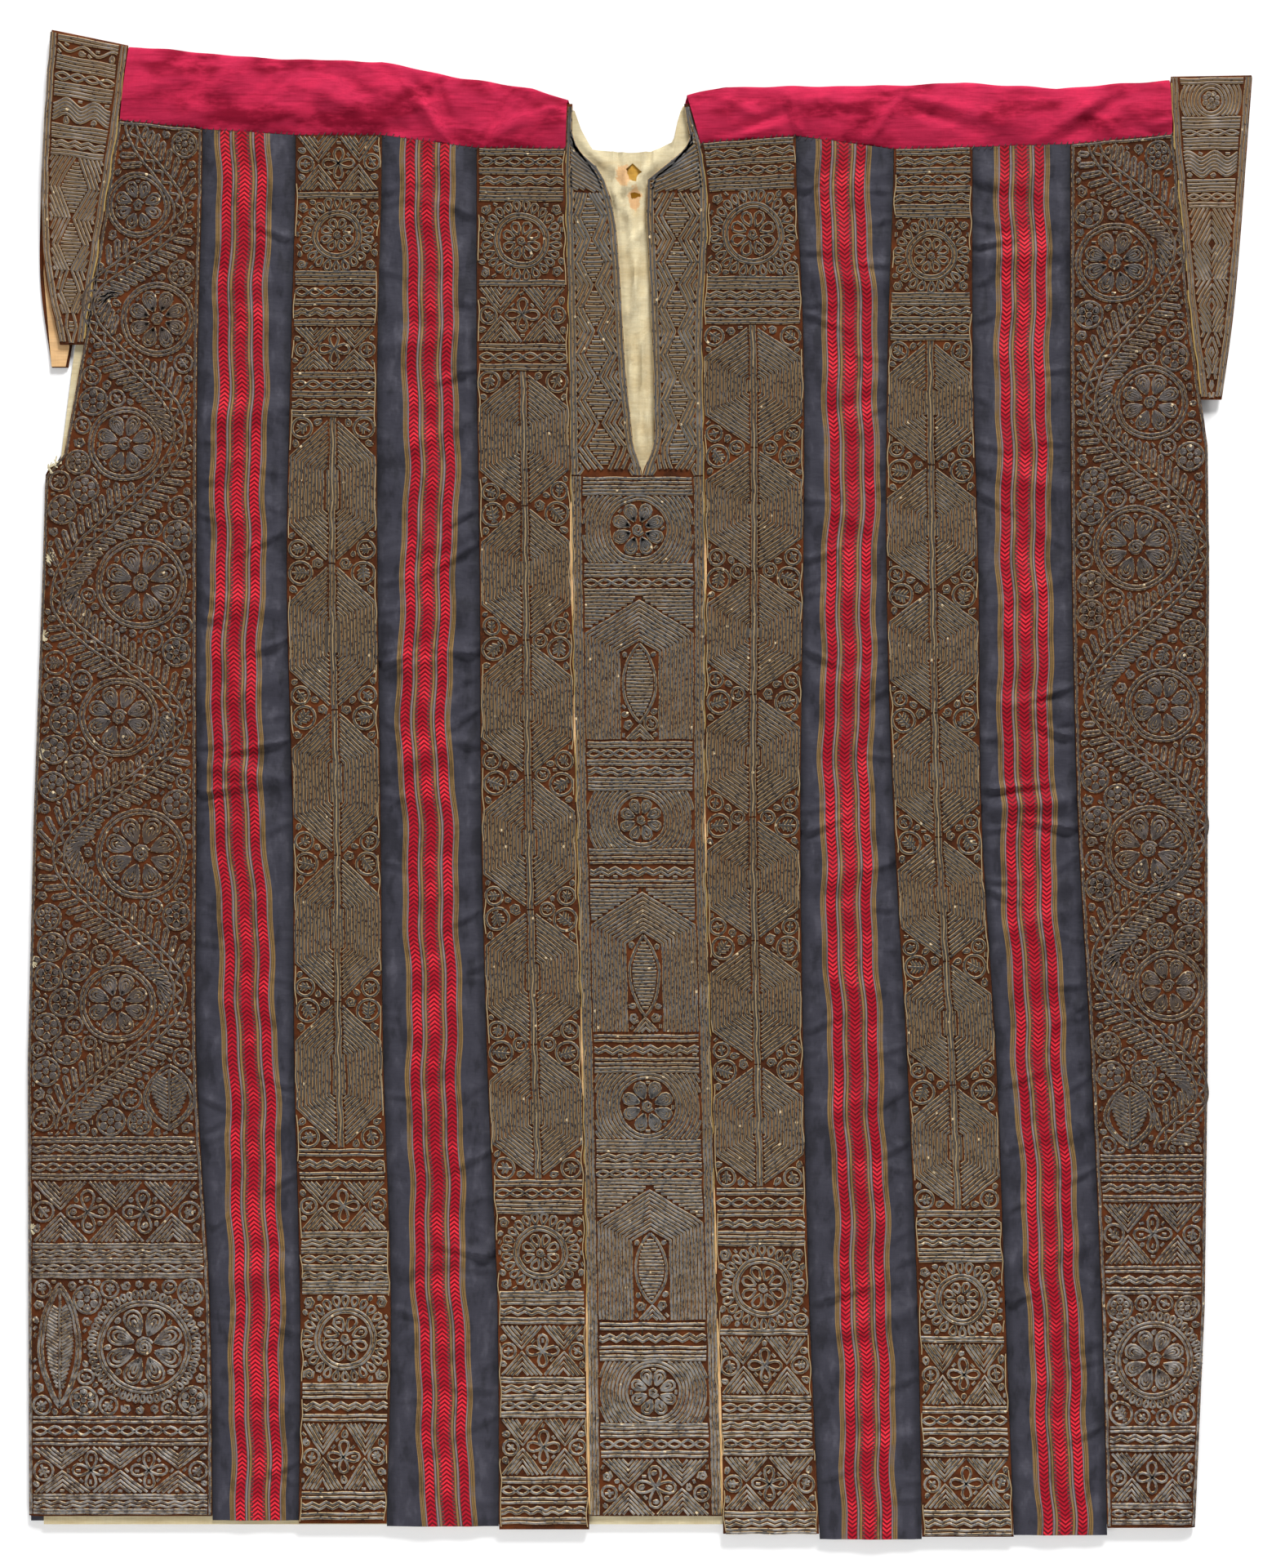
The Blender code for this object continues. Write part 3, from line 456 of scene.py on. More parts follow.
def strip_edges(piece, y):
    """Left and right edge of a front strip at levels y, half a seam gap inside its seams."""
    index = FRONT_PIECES.index(piece)
    return seam_x(index - 1, y) + SEAM_GAP / 2, seam_x(index, y) - SEAM_GAP / 2


def slit_edges(side, y):
    """Edges of the centre panel's half at levels y: from its seam to the slit, or to the line below it."""
    left, right = strip_edges("center", y)
    if side == "left":
        return left, read_along(NECK_CUT, y, 1)
    return read_along(NECK_CUT, y, 2), right


def sleeve_edges(side, y):
    """Left and right edge of a sleeve band's front half at levels y."""
    fold_outer, _, foot, _ = SLEEVE_LEVELS[side]
    share = np.clip((fold_outer - y) / (fold_outer - foot), 0, 1)
    outer = smooth_along(SLEEVES[side], share, 1)
    if side == "left":
        return outer, read_along(OUTER[side], y) - SEAM_GAP
    return read_along(OUTER[side], y) + SEAM_GAP, outer


def inset_edges(edges, left_by, right_by, y):
    """Edges moved in by a distance on either side."""
    left, right = edges(y)
    return left + left_by, right - right_by


def ridge_rise(table, x, y):
    """Sum of soft ridges: each falls off as a bell across its crest and four times slower along it."""
    rise = np.zeros(np.broadcast(x, y).shape)
    for crest_x, crest_y, height, width, slope in table:
        across = (y - crest_y - slope * (x - crest_x)) / width
        along = (x - crest_x) / (4 * width)
        rise = rise + height * np.exp(-across * across - along * along)
    return rise


def slight_creases(piece):
    """Slight creases strewn along a ribbon, in the form of the table's rows and the same on every run."""
    draw = np.random.default_rng(FRONT_PIECES.index(piece))
    rows = draw.uniform((-495, -1, 10, -0.8, 0.5), (430, 1, 36, 0.8, 1.3), (SLIGHT_CREASES, 5))
    rows[:, 1] = np.sign(rows[:, 1])
    return rows


def pucker_rise(piece, x, y, share):
    """Rise of a ribbon: bells across its puckers, a ridge beside a trough at each crease, and a slight crown.

    Puckers and creases fade out at the sewn edges, and no trough reaches the lining beneath.
    """
    rise = np.zeros(np.broadcast(share, y).shape)
    for crest, height, reach, slope in PUCKERS[piece]:
        across = (y - crest - slope * RIBBON_WIDTH * (share - 0.5)) / (0.6 * reach)
        rise = rise + PUCKER_RISE * height * np.exp(-across * across)
    left, right = strip_edges(piece, y)
    for level, edge, reach, slope, height in (*CREASES[piece], *slight_creases(piece)):
        inward = x - left if edge < 0 else right - x
        across = (y - level - slope * inward) / CREASE_WIDTH
        bell = np.exp(-across * across) - 0.5 * np.exp(-((across + 1.7) ** 2))
        rise = rise + CREASE_RISE * height * bell * np.clip(1 - inward / reach, 0, 1)
    rise = rise + 0.8 * np.sin(0.16 * y + 0.09 * x) * np.sin(0.047 * y - 0.12 * x + 0.8)
    hold = np.clip(3.3 * np.sin(math.pi * share), 0, 1)
    return np.maximum(rise * hold + RIBBON_CROWN * np.sin(math.pi * share) * hold, DEEPEST_TROUGH)


def velvet_height(piece, x, y):
    """Top of a velvet strip: its swells, less the roll of a side panel's outer edge below the armhole."""
    rise = ridge_rise(SWELLS[piece], x, y)
    top = VELVET_TOP + rise
    if piece.startswith("side_"):
        side = piece.removeprefix("side_")
        inside = np.abs(x - read_along(OUTER[side], y))
        bend = np.clip(1 - inside / ROLL_WIDTH, 0, 1)
        below = np.clip((ARMHOLE_FOOT[side] - y) / 6, 0, 1)
        top = top - (ROLL_DROP * bend * bend) * below - rise * bend
    return top


def sleeve_height(side, x, y):
    """Top of a sleeve band's front: a little lower at its outer edge, and round over the fold."""
    left, right = sleeve_edges(side, y)
    outer, inner = (left, right) if side == "left" else (right, left)
    share = np.clip((x - outer) / (inner - outer), 0, 1)
    top = VELVET_TOP - SLEEVE_OUTER_DROP * (1 - share)
    fold_outer, fold_inner = SLEEVE_LEVELS[side][:2]
    over = np.clip((y - fold_outer - share * (fold_inner - fold_outer)) / (top / 2) + 1, 0, 1)
    return top / 2 * (1 + np.sqrt(1 - over * over))


def wall_arrays(top, low, uv):
    """A closed wall between two grids: quads over the top, under the bottom and round the rim."""
    rows, columns = top.shape[:2]
    count = rows * columns
    index = np.arange(count).reshape(rows, columns)
    cells = (index[:-1, :-1], index[:-1, 1:], index[1:, 1:], index[1:, :-1])
    upper = np.stack(cells, -1).reshape(-1, 4)
    rim = np.concatenate((index[0], index[1:, -1], index[-1, -2::-1], index[-2:0:-1, 0]))
    following = np.roll(rim, -1)
    side = np.stack((rim + count, following + count, following, rim), -1)
    points = np.concatenate((top.reshape(-1, 3), low.reshape(-1, 3)))
    quads = np.concatenate((upper, upper[:, ::-1] + count, side))
    return points, quads, np.tile(uv.reshape(-1, 2), (2, 1))


def join_arrays(parts):
    """Several meshes' arrays as one."""
    starts = np.cumsum([0] + [len(points) for points, _, _ in parts[:-1]])
    points = np.concatenate([part[0] for part in parts])
    quads = np.concatenate([part[1] + start for part, start in zip(parts, starts)])
    return points, quads, np.concatenate([part[2] for part in parts])


def hand_wobble(points, size):
    """Unevenness of hand-laid lines: slow sine waves of the place itself."""
    x, y = points[:, 0], points[:, 1]
    aside = np.sin(0.21 * y + 0.13 * x) + 0.6 * np.sin(0.47 * x - 0.31 * y + 1.3)
    up = np.sin(0.19 * x - 0.17 * y + 2.1) + 0.6 * np.sin(0.43 * y + 0.29 * x + 0.4)
    return points + size * np.stack((aside, up), 1)


def cord_arrays(paths, height, width, rise, wobble=0.22, lift=-0.12):
    """A cord along each path: a four-point ridge carried along it, flat below, with a face at each end.

    The ridge's points lie at shares of the width to the left of the path, and at shares of the rise above
    the cloth. u runs along the path in metres and v across it from 0 to 1.
    """
    counts = np.array([len(path) for path in paths])
    spots = hand_wobble(np.concatenate(paths), wobble)
    ends = np.cumsum(counts) - 1
    starts = ends - counts + 1
    owner = np.repeat(np.arange(len(paths)), counts)
    index = np.arange(len(spots))
    after = np.minimum(index + 1, ends[owner])
    before = np.maximum(index - 1, starts[owner])
    run = spots[after] - spots[before]
    run = run / np.maximum(np.hypot(run[:, 0], run[:, 1]), 1e-6)[:, None]
    length = np.cumsum(np.hypot(*(spots - spots[before]).T))
    length = length - length[starts][owner] + 37.7 * owner % 91
    aside = np.array((0.5, 0.27, -0.27, -0.5)) * width
    lifts = np.array((0.0, 0.85, 0.85, 0.0)) * rise
    x = spots[:, :1] - run[:, 1:] * aside
    y = spots[:, 1:] + run[:, :1] * aside
    z = (height(spots[:, 0], spots[:, 1]) + lift)[:, None] + lifts
    points = np.stack((x, y, z), -1).reshape(-1, 3)
    uv = np.stack(np.broadcast_arrays(length[:, None] * MM, 0.5 - aside / width), -1).reshape(-1, 2)
    inner = index[index != ends[owner]] * 4
    ring = np.arange(4)
    near = inner[:, None] + ring
    beside = inner[:, None] + (ring + 1) % 4
    sides = np.stack((near, beside, beside + 4, near + 4), -1).reshape(-1, 4)
    caps = np.concatenate((starts[:, None] * 4 + ring[::-1], ends[:, None] * 4 + ring))
    return points, np.concatenate((sides, caps)), uv


def add_piece(name, arrays, material, sharp=60):
    """A mesh object at the origin from arrays of points, quads and UV, riding on the tunic's one body."""
    points, quads, uv = arrays
    mesh = bpy.data.meshes.new(name)
    mesh.vertices.add(len(points))
    mesh.vertices.foreach_set("co", (points * MM).astype(np.float32).ravel())
    mesh.loops.add(quads.size)
    mesh.loops.foreach_set("vertex_index", quads.astype(np.int32).ravel())
    mesh.polygons.add(len(quads))
    mesh.polygons.foreach_set("loop_start", np.arange(0, quads.size, 4, dtype=np.int32))
    layer = mesh.uv_layers.new(name="UVMap")
    layer.uv.foreach_set("vector", uv[quads.ravel()].astype(np.float32).ravel())
    mesh.update(calc_edges=True)
    mesh.validate()
    mesh.shade_smooth()
    mesh.set_sharp_from_angle(angle=math.radians(sharp))
    mesh.materials.append(material)
    piece = bpy.data.objects.new(name, mesh)
    bpy.context.scene.collection.objects.link(piece)
    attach(piece, "root")
    return piece


def declare_cloth(node):
    """Hide the CAD part of that name from view and render, for the cloth made here takes its place."""
    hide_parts(node)


def strip_grid(edges, hem, corners, columns, rows):
    """x and y over a strip: rows go up from the hem to its slanting top, columns from left to right."""
    share = np.linspace(0, 1, columns)[None, :]
    up = np.linspace(0, 1, rows)[:, None]
    y = hem + up * (corners[0] + share * (corners[1] - corners[0]) - hem)
    left, right = edges(y)
    return left + share * (right - left), y, np.broadcast_to(share, y.shape)


def even(points, step):
    """Points at even steps along a broken line."""
    points = np.asarray(points, dtype=float)
    run = np.concatenate(([0.0], np.cumsum(np.hypot(*np.diff(points, axis=0).T))))
    at = np.linspace(0, run[-1], max(2, math.ceil(run[-1] / step) + 1))
    return np.stack((np.interp(at, run, points[:, 0]), np.interp(at, run, points[:, 1])), 1)


def straight(*points):
    """A broken line through its corners with points at even steps between them."""
    runs = [even(pair, 6.0)[:-1] for pair in zip(points[:-1], points[1:])]
    return np.concatenate(runs + [np.array(points[-1:], dtype=float)])


def ring(x, y, radius):
    """A closed circle."""
    turn = np.linspace(0, 2 * math.pi, max(9, math.ceil(2 * math.pi * radius / 2.3)))
    return np.stack((x + radius * np.cos(turn), y + radius * np.sin(turn)), 1)


def spiral(x, y, radius, start, hand):
    """A line that winds in to the middle, one cord's pitch a turn."""
    turns = max(1.3, radius / CORD_PITCH)
    count = max(9, math.ceil(math.pi * radius * turns / 2.0))
    share = np.linspace(0, 1, count)
    reach = radius - (radius - 0.8) * share
    turn = start + hand * 2 * math.pi * turns * share
    return np.stack((x + reach * np.cos(turn), y + reach * np.sin(turn)), 1)


def loop(x, y, angle, length, width):
    """A drop-shaped loop from its point, away at an angle: wide towards its round end."""
    turn = np.linspace(0, 2 * math.pi, max(9, math.ceil(2.2 * length / 2.2)))
    along = length * (1 - np.cos(turn)) / 2
    across = width / 1.54 * np.sin(turn) * np.abs(np.sin(turn / 2))
    cosine, sine = math.cos(angle), math.sin(angle)
    return np.stack((x + along * cosine - across * sine, y + along * sine + across * cosine), 1)


def sprig(x, y, radius, angle):
    """A ring with a twig across it: a stem and slanting leaves on both sides."""
    ahead = np.array((math.cos(angle), math.sin(angle)))
    aside = np.array((-ahead[1], ahead[0]))
    middle = np.array((x, y))
    inner = radius - 1.9
    paths = [ring(x, y, radius), np.stack((middle - inner * ahead, middle + inner * ahead))]
    for along in np.arange(0.45 - inner, inner * 0.5, CORD_PITCH * 0.95):
        reach = 0.75 * math.sqrt(max(0.0, inner * inner - along * along))
        if reach > 1.6:
            start = middle + along * ahead
            paths += [np.stack((start + hand * 0.9 * aside, start + reach * (hand * aside + 0.45 * ahead)))
                      for hand in (-1, 1)]
    return paths


def almond(x, y, length, width):
    """A leaf outline up from its foot, pointed at both ends, drawn as its two halves."""
    up = np.linspace(0, 1, max(6, math.ceil(length / 3)))
    bulge = width / 2 * np.sin(math.pi * up) ** 0.8
    return [np.stack((x + hand * bulge, y + up * length), 1) for hand in (-1, 1)]


def wave(half, level, height, period, phase):
    """A wavy line across a strip, whole waves from edge to edge."""
    waves = max(1, round(2 * half / period))
    at = np.linspace(0, 1, waves * max(4, round(period / 2.4)) + 1)
    return np.stack((half * (2 * at - 1), level + height * np.sin(2 * math.pi * waves * at + phase)), 1)


def bar(start, end):
    """A narrow closed loop between two points, one pitch of the cords wide."""
    ahead = (end - start) / max(float(np.hypot(*(end - start))), 1e-6)
    aside = np.array((-ahead[1], ahead[0])) * CORD_PITCH / 2
    far, near = end - ahead, start + ahead
    return np.stack((start, near + aside, far + aside, end, far - aside, near - aside, start))


def drop_ring(x, y, radius, length):
    """Drop-shaped loops side by side about a ring, each with its point towards the middle."""
    count = math.floor(2 * math.pi * (radius + 0.62 * length) / (0.88 * length))
    turns = [2 * math.pi * (number + 0.5) / count for number in range(count)]
    width = 0.62 * length
    feet = [(x + radius * math.cos(turn), y + radius * math.sin(turn), turn) for turn in turns]
    return [loop(*foot, length, width) for foot in feet]


def border(half, length):
    """Rows across a strip: pairs of straight cords, and between them two waves side by side or as a chain."""
    if length < 12:
        return [straight((-half, share * length), (half, share * length)) for share in (0.15, 0.5, 0.85)]
    rows = max(1, round((length - 5) / 12))
    scale = length / (rows * 12 + 5)
    paths = []
    for row in range(rows + 1):
        for level in (row * 12 + 1.3, row * 12 + 3.7):
            paths.append(straight((-half, level * scale), (half, level * scale)))
    for row in range(rows):
        level = (row * 12 + 8.5) * scale
        if row % 2 == int(length) % 2:
            paths += [wave(half, level + aside, 1.0 * scale, 9.5, row) for aside in (-1.3, 1.3)]
        else:
            paths += [wave(half, level, 2.2 * scale, 19, turn) for turn in (0, math.pi)]
    return paths


def scroll(half, length):
    """Waves side by side, a cord's pitch apart, between two pairs of straight cords."""
    levels = (1.3, 3.7, length - 3.7, length - 1.3)
    paths = [straight((-half, level), (half, level)) for level in levels]
    return paths + [wave(half, level, 2.4, 22, length) for level in np.arange(8.2, length - 7.5, CORD_PITCH)]


def points(half, length, flowers=1):
    """Nested points from above and below; the diamonds between them hold four-petalled flowers.

    The lines of a point are parallel, each one pitch inside the one before.
    """
    cell, mid = half / (flowers + 1), length / 2
    step = CORD_PITCH * math.hypot(cell, mid) / (cell * mid)
    paths = []
    for number in range(flowers + 1):
        middle = (2 * number + 1) * cell - half
        for share in np.arange(0.93, 0.16, -step):
            for edge, way in ((1.0, 1), (length - 1.0, -1)):
                tip = (middle, edge + way * share * (mid - 1))
                paths.append(straight((middle - share * cell, edge), tip, (middle + share * cell, edge)))
    petal = 0.76 * min(cell, mid)
    for number in range(flowers):
        middle = (2 * number + 2) * cell - half
        paths += [loop(middle, mid, turn * math.pi / 2, petal, petal * 0.58) for turn in range(4)]
    return paths


def flower(x, y, radius, petals, nested=True):
    """Petals of nested loops round a small spiral."""
    core = 0.24 * radius
    paths = [spiral(x, y, max(core, 1.6), 0.4, 1)]
    width = 2 * math.pi * 0.66 * radius / petals * 0.84
    shares = (1.0, 0.62, 0.24) if width > 7 else (1.0, 0.45) if width > 3.8 else (1.0,)
    shares = shares if nested else (1.0,)
    start = core + 1.7
    for number in range(petals):
        angle = 2 * math.pi * (number + 0.5) / petals
        for share in shares:
            length = (radius - start) * (0.35 + 0.65 * share)
            inset = start + 0.5 * (1 - share) * (radius - start) * 0.35
            foot = (x + inset * math.cos(angle), y + inset * math.sin(angle))
            paths.append(loop(*foot, angle, length, width * share))
    return paths


def disc(half, length):
    """A medallion: two rings round a flower, a ring of drops about them, lines above and below."""
    mid = length / 2
    radius = min(half, mid - 4.6) - 8.4
    paths = [straight((-half, level), (half, level)) for level in (1.3, 3.6, length - 3.6, length - 1.3)]
    paths += [ring(0, mid, radius), ring(0, mid, radius - CORD_PITCH)]
    paths += drop_ring(0, mid, radius + 1.7, 7.0)
    return paths + flower(0, mid, radius - 2.1 * CORD_PITCH, 8, nested=False)


def wheel(half, length):
    """A medallion: two rings round a flower, arcs about them in the corners, lines above and below."""
    mid = length / 2
    radius = mid - 5
    paths = [straight((-half, level), (half, level)) for level in (1.3, 3.6, length - 3.6, length - 1.3)]
    paths += [ring(0, mid, radius - step * CORD_PITCH) for step in range(2)]
    paths += flower(0, mid, radius - 2.1 * CORD_PITCH, 8)
    for reach in np.arange(radius + CORD_PITCH, math.hypot(half, mid - 5), CORD_PITCH):
        low = math.acos(min(1.0, half / reach))
        high = math.asin(min(1.0, (mid - 5) / reach))
        if high - low < 0.12:
            continue
        turn = np.linspace(low, high, max(3, math.ceil(reach * (high - low) / 2.4)))
        for u, v in ((-1, -1), (-1, 1), (1, -1), (1, 1)):
            paths.append(np.stack((u * reach * np.cos(turn), mid + v * reach * np.sin(turn)), 1))
    return paths


def hexagon(half, length):
    """Nested half hexagons each side of a two-cord vein; the four corners are left for spirals."""
    tip, start = 3.0, 3.2
    knee = 0.27 * length
    slope = (knee - tip) / (half - start)
    lean = math.hypot(1, slope)
    paths = []
    for side in (-1, 1):
        paths.append(straight((side * 1.15, 0.5), (side * 1.15, length - 0.5)))
        for inward in np.arange(0, half - start - 1.2, CORD_PITCH):
            reach = half - inward
            top = tip + inward * lean
            bend = top + (reach - start) * slope
            if bend > length / 2 - 1:
                break
            corners = ((start, top), (reach, bend), (reach, length - bend), (start, length - top))
            paths.append(straight(*((side * u, v) for u, v in corners)))
        paths.append(straight((side * 3.3, top + 3), (side * 3.3, length - top - 3)))
    return paths


def niche(half, length):
    """Nested pointed arches, a cord's pitch apart, round a spindle hatched across, and a tail below it."""
    apex, foot = 3.0, length - 1.2
    slope = 0.62
    lean = math.hypot(1, slope)
    paths = []
    for inward in np.arange(0.6, 0.66 * half, CORD_PITCH):
        reach = half - inward
        top = apex + inward * lean
        bend = top + reach * slope
        paths.append(straight((-reach, foot), (-reach, bend), (0, top), (reach, bend), (reach, foot)))
    for level in np.arange(1.4, apex + 0.62 * half - 2, CORD_PITCH):
        near = max(0.0, (level - apex) / slope) + 2.6
        paths += [straight((side * near, level), (side * half, level)) for side in (-1, 1) if half - near > 2]
    head, tail = top + 3.2, foot - 11
    width = 2 * (reach - 2.8)
    paths += [even(side, 2.6) for side in almond(0, head, tail - head, width)]
    for level in np.arange(head + 5, tail - 4, CORD_PITCH):
        hatch = width / 2 * math.sin(math.pi * (level - head) / (tail - head)) ** 0.8 - 1.9
        if hatch > 1:
            paths.append(straight((-hatch, level), (hatch, level)))
    for inward in (0, CORD_PITCH, 2 * CORD_PITCH):
        spread = 0.62 * reach - inward
        if spread > 1.5:
            paths.append(straight((-spread, foot), (0, tail + 1.5 + 1.4 * inward), (spread, foot)))
    return paths


def lattice(half, length, period=None, pitch=CORD_PITCH):
    """A column of diamonds hatched across, with zigzags and nested points beside them.

    A diamond reaches 0.6 of the half width. Lines beside it keep its slope and stand one pitch apart, from
    each waist between two diamonds out to the edge.
    """
    period = period or length
    reach, rise = 0.6 * half, period / 2
    paths = []
    for level in np.arange(1.4, length - 1, pitch):
        hatch = reach * (1 - abs(2 * (level / period % 1) - 1)) - 0.4
        if hatch > 1:
            paths.append(straight((-hatch, level), (hatch, level)))
    step = pitch * math.hypot(reach, rise) / rise
    for waist in np.arange(0, length + period, period):
        for near in np.arange(step * 0.5, half - 1, step):
            high = min(rise, rise * (half - near) / reach)
            levels = [level for level in (waist - high, waist, waist + high) if -0.1 < level < length + 0.1]
            if len(levels) > 1:
                shares = [near + reach * abs(level - waist) / rise for level in levels]
                paths += [straight(*((side * u, v) for u, v in zip(shares, levels))) for side in (-1, 1)]
    return paths


def nest(half, length):
    """Nested diamonds, a cord's pitch apart, with lines that keep their slope in the four corners."""
    rise = length / 2
    step = CORD_PITCH * math.hypot(half, rise) / (half * rise)
    paths = []
    for share in np.arange(1 - step / 2, 0.1, -step):
        u, v = share * half, share * rise
        paths.append(straight((0, rise - v), (u, rise), (0, rise + v), (-u, rise), (0, rise - v)))
    for share in np.arange(step / 2, 0.95, step):
        for u, v in ((-1, -1), (-1, 1), (1, -1), (1, 1)):
            paths.append(straight((u * half, rise + v * rise * share), (u * half * share, rise + v * rise)))
    return paths


MOTIFS = {
    "border": border, "scroll": scroll, "points": points, "disc": disc, "wheel": wheel, "hexagon": hexagon,
    "niche": niche, "lattice": lattice, "nest": nest,
}


def strip_half(edges, y):
    """Half the width of a strip inside its bare edges at one level."""
    left, right = edges(np.array([y], dtype=float))
    return float((right - left)[0]) / 2 - EDGE_MARGIN


def lay(paths, edges, level, half):
    """Carry paths drawn about a strip's middle, down from a level, onto the strip and its width."""
    laid = []
    for path in paths:
        y = level - path[:, 1]
        left, right = edges(y)
        reach = (right - left) / 2 - EDGE_MARGIN
        laid.append(np.stack(((left + right) / 2 + path[:, 0] * reach / half, y), 1))
    return laid


def lay_motifs(layout, edges, level):
    """Lay a column of motifs down a strip from a level."""
    paths = []
    for motif, count, length in layout:
        step = length / count
        for _ in range(count):
            half = strip_half(edges, level - step / 2)
            paths += lay(MOTIFS[motif](half, step), edges, level, half)
            level -= step
    return paths


def slanted(paths, edges, corners, low):
    """Paths laid below the lower of a strip's top corners, raised towards the higher one.

    The raise is the top edge's own at the top and less and less down to a level.
    """
    base = min(corners)
    raised = []
    for path in paths:
        left, right = edges(path[:, 1])
        share = np.clip((path[:, 0] - left) / (right - left), 0, 1)
        rise = corners[0] - base + share * (corners[1] - corners[0])
        rise = rise * np.clip((path[:, 1] - low) / (base - low), 0, 1)
        raised.append(path + np.stack((0 * rise, rise), 1))
    return raised


def edge_lines(edges, top, foot, offsets):
    """Cords along both edges of a strip, each at its distance from the edge."""
    y = np.linspace(top, foot, max(2, math.ceil(abs(top - foot) / 8)))
    left, right = edges(y)
    lines = [np.stack((left + offset, y), 1) for offset in offsets]
    return lines + [np.stack((right - offset, y), 1) for offset in offsets]


def bare_distance(paths, edges, low, high):
    """Cells over a strip with the distance of each from the nearest cord or edge.

    Cells on a cord or off the strip start at nought, and each pass lets every cell take its neighbours'
    distance plus the step between them.
    """
    left, right = edges(np.linspace(low, high, 40))
    x = np.arange(left.min() - 2, right.max() + 2, FILL_CELL)
    y = np.arange(low, high, FILL_CELL)
    grid_x, grid_y = np.meshgrid(x, y)
    left, right = edges(grid_y)
    bare = np.where((grid_x > left) & (grid_x < right), 99.0, 0.0)
    spots = np.concatenate([even(path, FILL_CELL * 0.8) for path in paths])
    column = np.rint((spots[:, 0] - x[0]) / FILL_CELL).astype(int)
    row = np.rint((spots[:, 1] - y[0]) / FILL_CELL).astype(int)
    on = (column >= 0) & (column < len(x)) & (row >= 0) & (row < len(y))
    bare[row[on], column[on]] = 0.0
    bare[[0, -1]] = 0.0
    steps = [(0, 1, 1.0), (1, 0, 1.0), (1, 1, math.sqrt(2)), (1, -1, math.sqrt(2))]
    for _ in range(18):
        for up, across, cost in steps:
            here = bare[: len(y) - up, max(0, -across):len(x) - max(0, across)]
            there = bare[up:, max(0, across):len(x) + min(0, across)]
            there[:] = np.minimum(there, here + cost * FILL_CELL)
            here[:] = np.minimum(here, there + cost * FILL_CELL)
    return grid_x, grid_y, bare


def widest_turn(bare, row, column):
    """The direction, of eight, in which a bare place goes on furthest to both sides."""
    turns = np.arange(8) * math.pi / 8
    ways = np.array([[3], [-3]])
    rows = np.clip(row + np.rint(ways * np.sin(turns)).astype(int), 0, bare.shape[0] - 1)
    columns = np.clip(column + np.rint(ways * np.cos(turns)).astype(int), 0, bare.shape[1] - 1)
    return float(turns[np.argmax(bare[rows, columns].min(axis=0))])


def fill_bare(paths, edges, low, high, largest, twigs=True):
    """Flowers, ringed twigs, spirals, loops and single stitches in the bare places, the largest first."""
    grid_x, grid_y, bare = bare_distance(paths, edges, low, high)
    filling = []
    while True:
        spot = int(np.argmax(np.minimum(bare, largest + FILL_CLEAR)))
        row, column = divmod(spot, bare.shape[1])
        radius = min(bare[row, column] - FILL_CLEAR, largest)
        if radius < 0.75:
            return filling
        x, y = grid_x[row, column], grid_y[row, column]
        turn = (x * 7.3 + y * 3.1) % (2 * math.pi)
        hand = 1 if int(x + 2 * y) % 2 else -1
        if radius > 7.5:
            filling += [ring(x, y, radius)] + flower(x, y, radius - 1.9, 6)
        elif radius > 4.2 and twigs:
            filling += sprig(x, y, radius, turn)
        elif radius > 2.6:
            filling.append(spiral(x, y, radius, turn, hand))
        elif radius > 1.15:
            foot = (x - radius * math.cos(turn), y - radius * math.sin(turn))
            filling.append(loop(*foot, turn, 2 * radius, 1.3 * radius))
        else:
            radius = 1.5
            turn = widest_turn(bare, row, column)
            reach = radius * np.array((math.cos(turn), math.sin(turn)))
            filling.append(np.stack(((x, y) - reach, (x, y) + reach)))
        window = (slice(max(0, row - FILL_WINDOW), row + FILL_WINDOW),
                  slice(max(0, column - FILL_WINDOW), column + FILL_WINDOW))
        gone = np.maximum(np.hypot(grid_x[window] - x, grid_y[window] - y) - radius, 0)
        bare[window] = np.minimum(bare[window], gone)


def band_paths(piece):
    """All the cords of one embroidered band."""
    edges = partial(strip_edges, piece)
    top = min(TOP_CORNERS[piece])
    paths = lay_motifs(EMBROIDERY[piece], edges, top)
    paths += fill_bare(paths, edges, HEMS[piece] + 1, top - 1, 7.4)
    return slanted(paths, edges, TOP_CORNERS[piece], top - 60)


def center_paths():
    """The cords of the centre panel: its lined edges and column of motifs, then those beside the slit."""
    edges = partial(strip_edges, "center")
    inner = partial(inset_edges, edges, 6.6, 6.6)
    hem = HEMS["center"]
    column = edge_lines(edges, CENTER_TOP, hem + 1, (1.3, 3.6, 5.9))
    column += lay_motifs(EMBROIDERY["center"], inner, CENTER_TOP)
    column += fill_bare(column, inner, hem + 1, CENTER_TOP, 5.0)
    slit = []
    for side, slant in (("left", 7), ("right", -7)):
        beside = partial(slit_edges, side)
        slit += edge_lines(beside, 456, CENTER_TOP + 1, (1.3,))
        slit += edge_lines(beside, 417, CENTER_TOP + 1, (3.8,))
        hatched = partial(inset_edges, beside, 3.8, 3.8)
        drawn = lay(lattice(14, 190, 31, SLIT_PITCH), hatched, 398, 14)
        for level in np.arange(393, 442, SLIT_PITCH):
            ends = np.array((level + slant, level - slant), dtype=float)
            left, right = inset_edges(beside, 3.0, 3.0, ends)
            line = even(((left[0], ends[0]), (right[1], ends[1])), 3.0)
            line = line[line[:, 1] > 399]
            if right[1] - left[0] > 2 and len(line) > 1:
                drawn.append(line)
        slit += drawn
    return column, slit


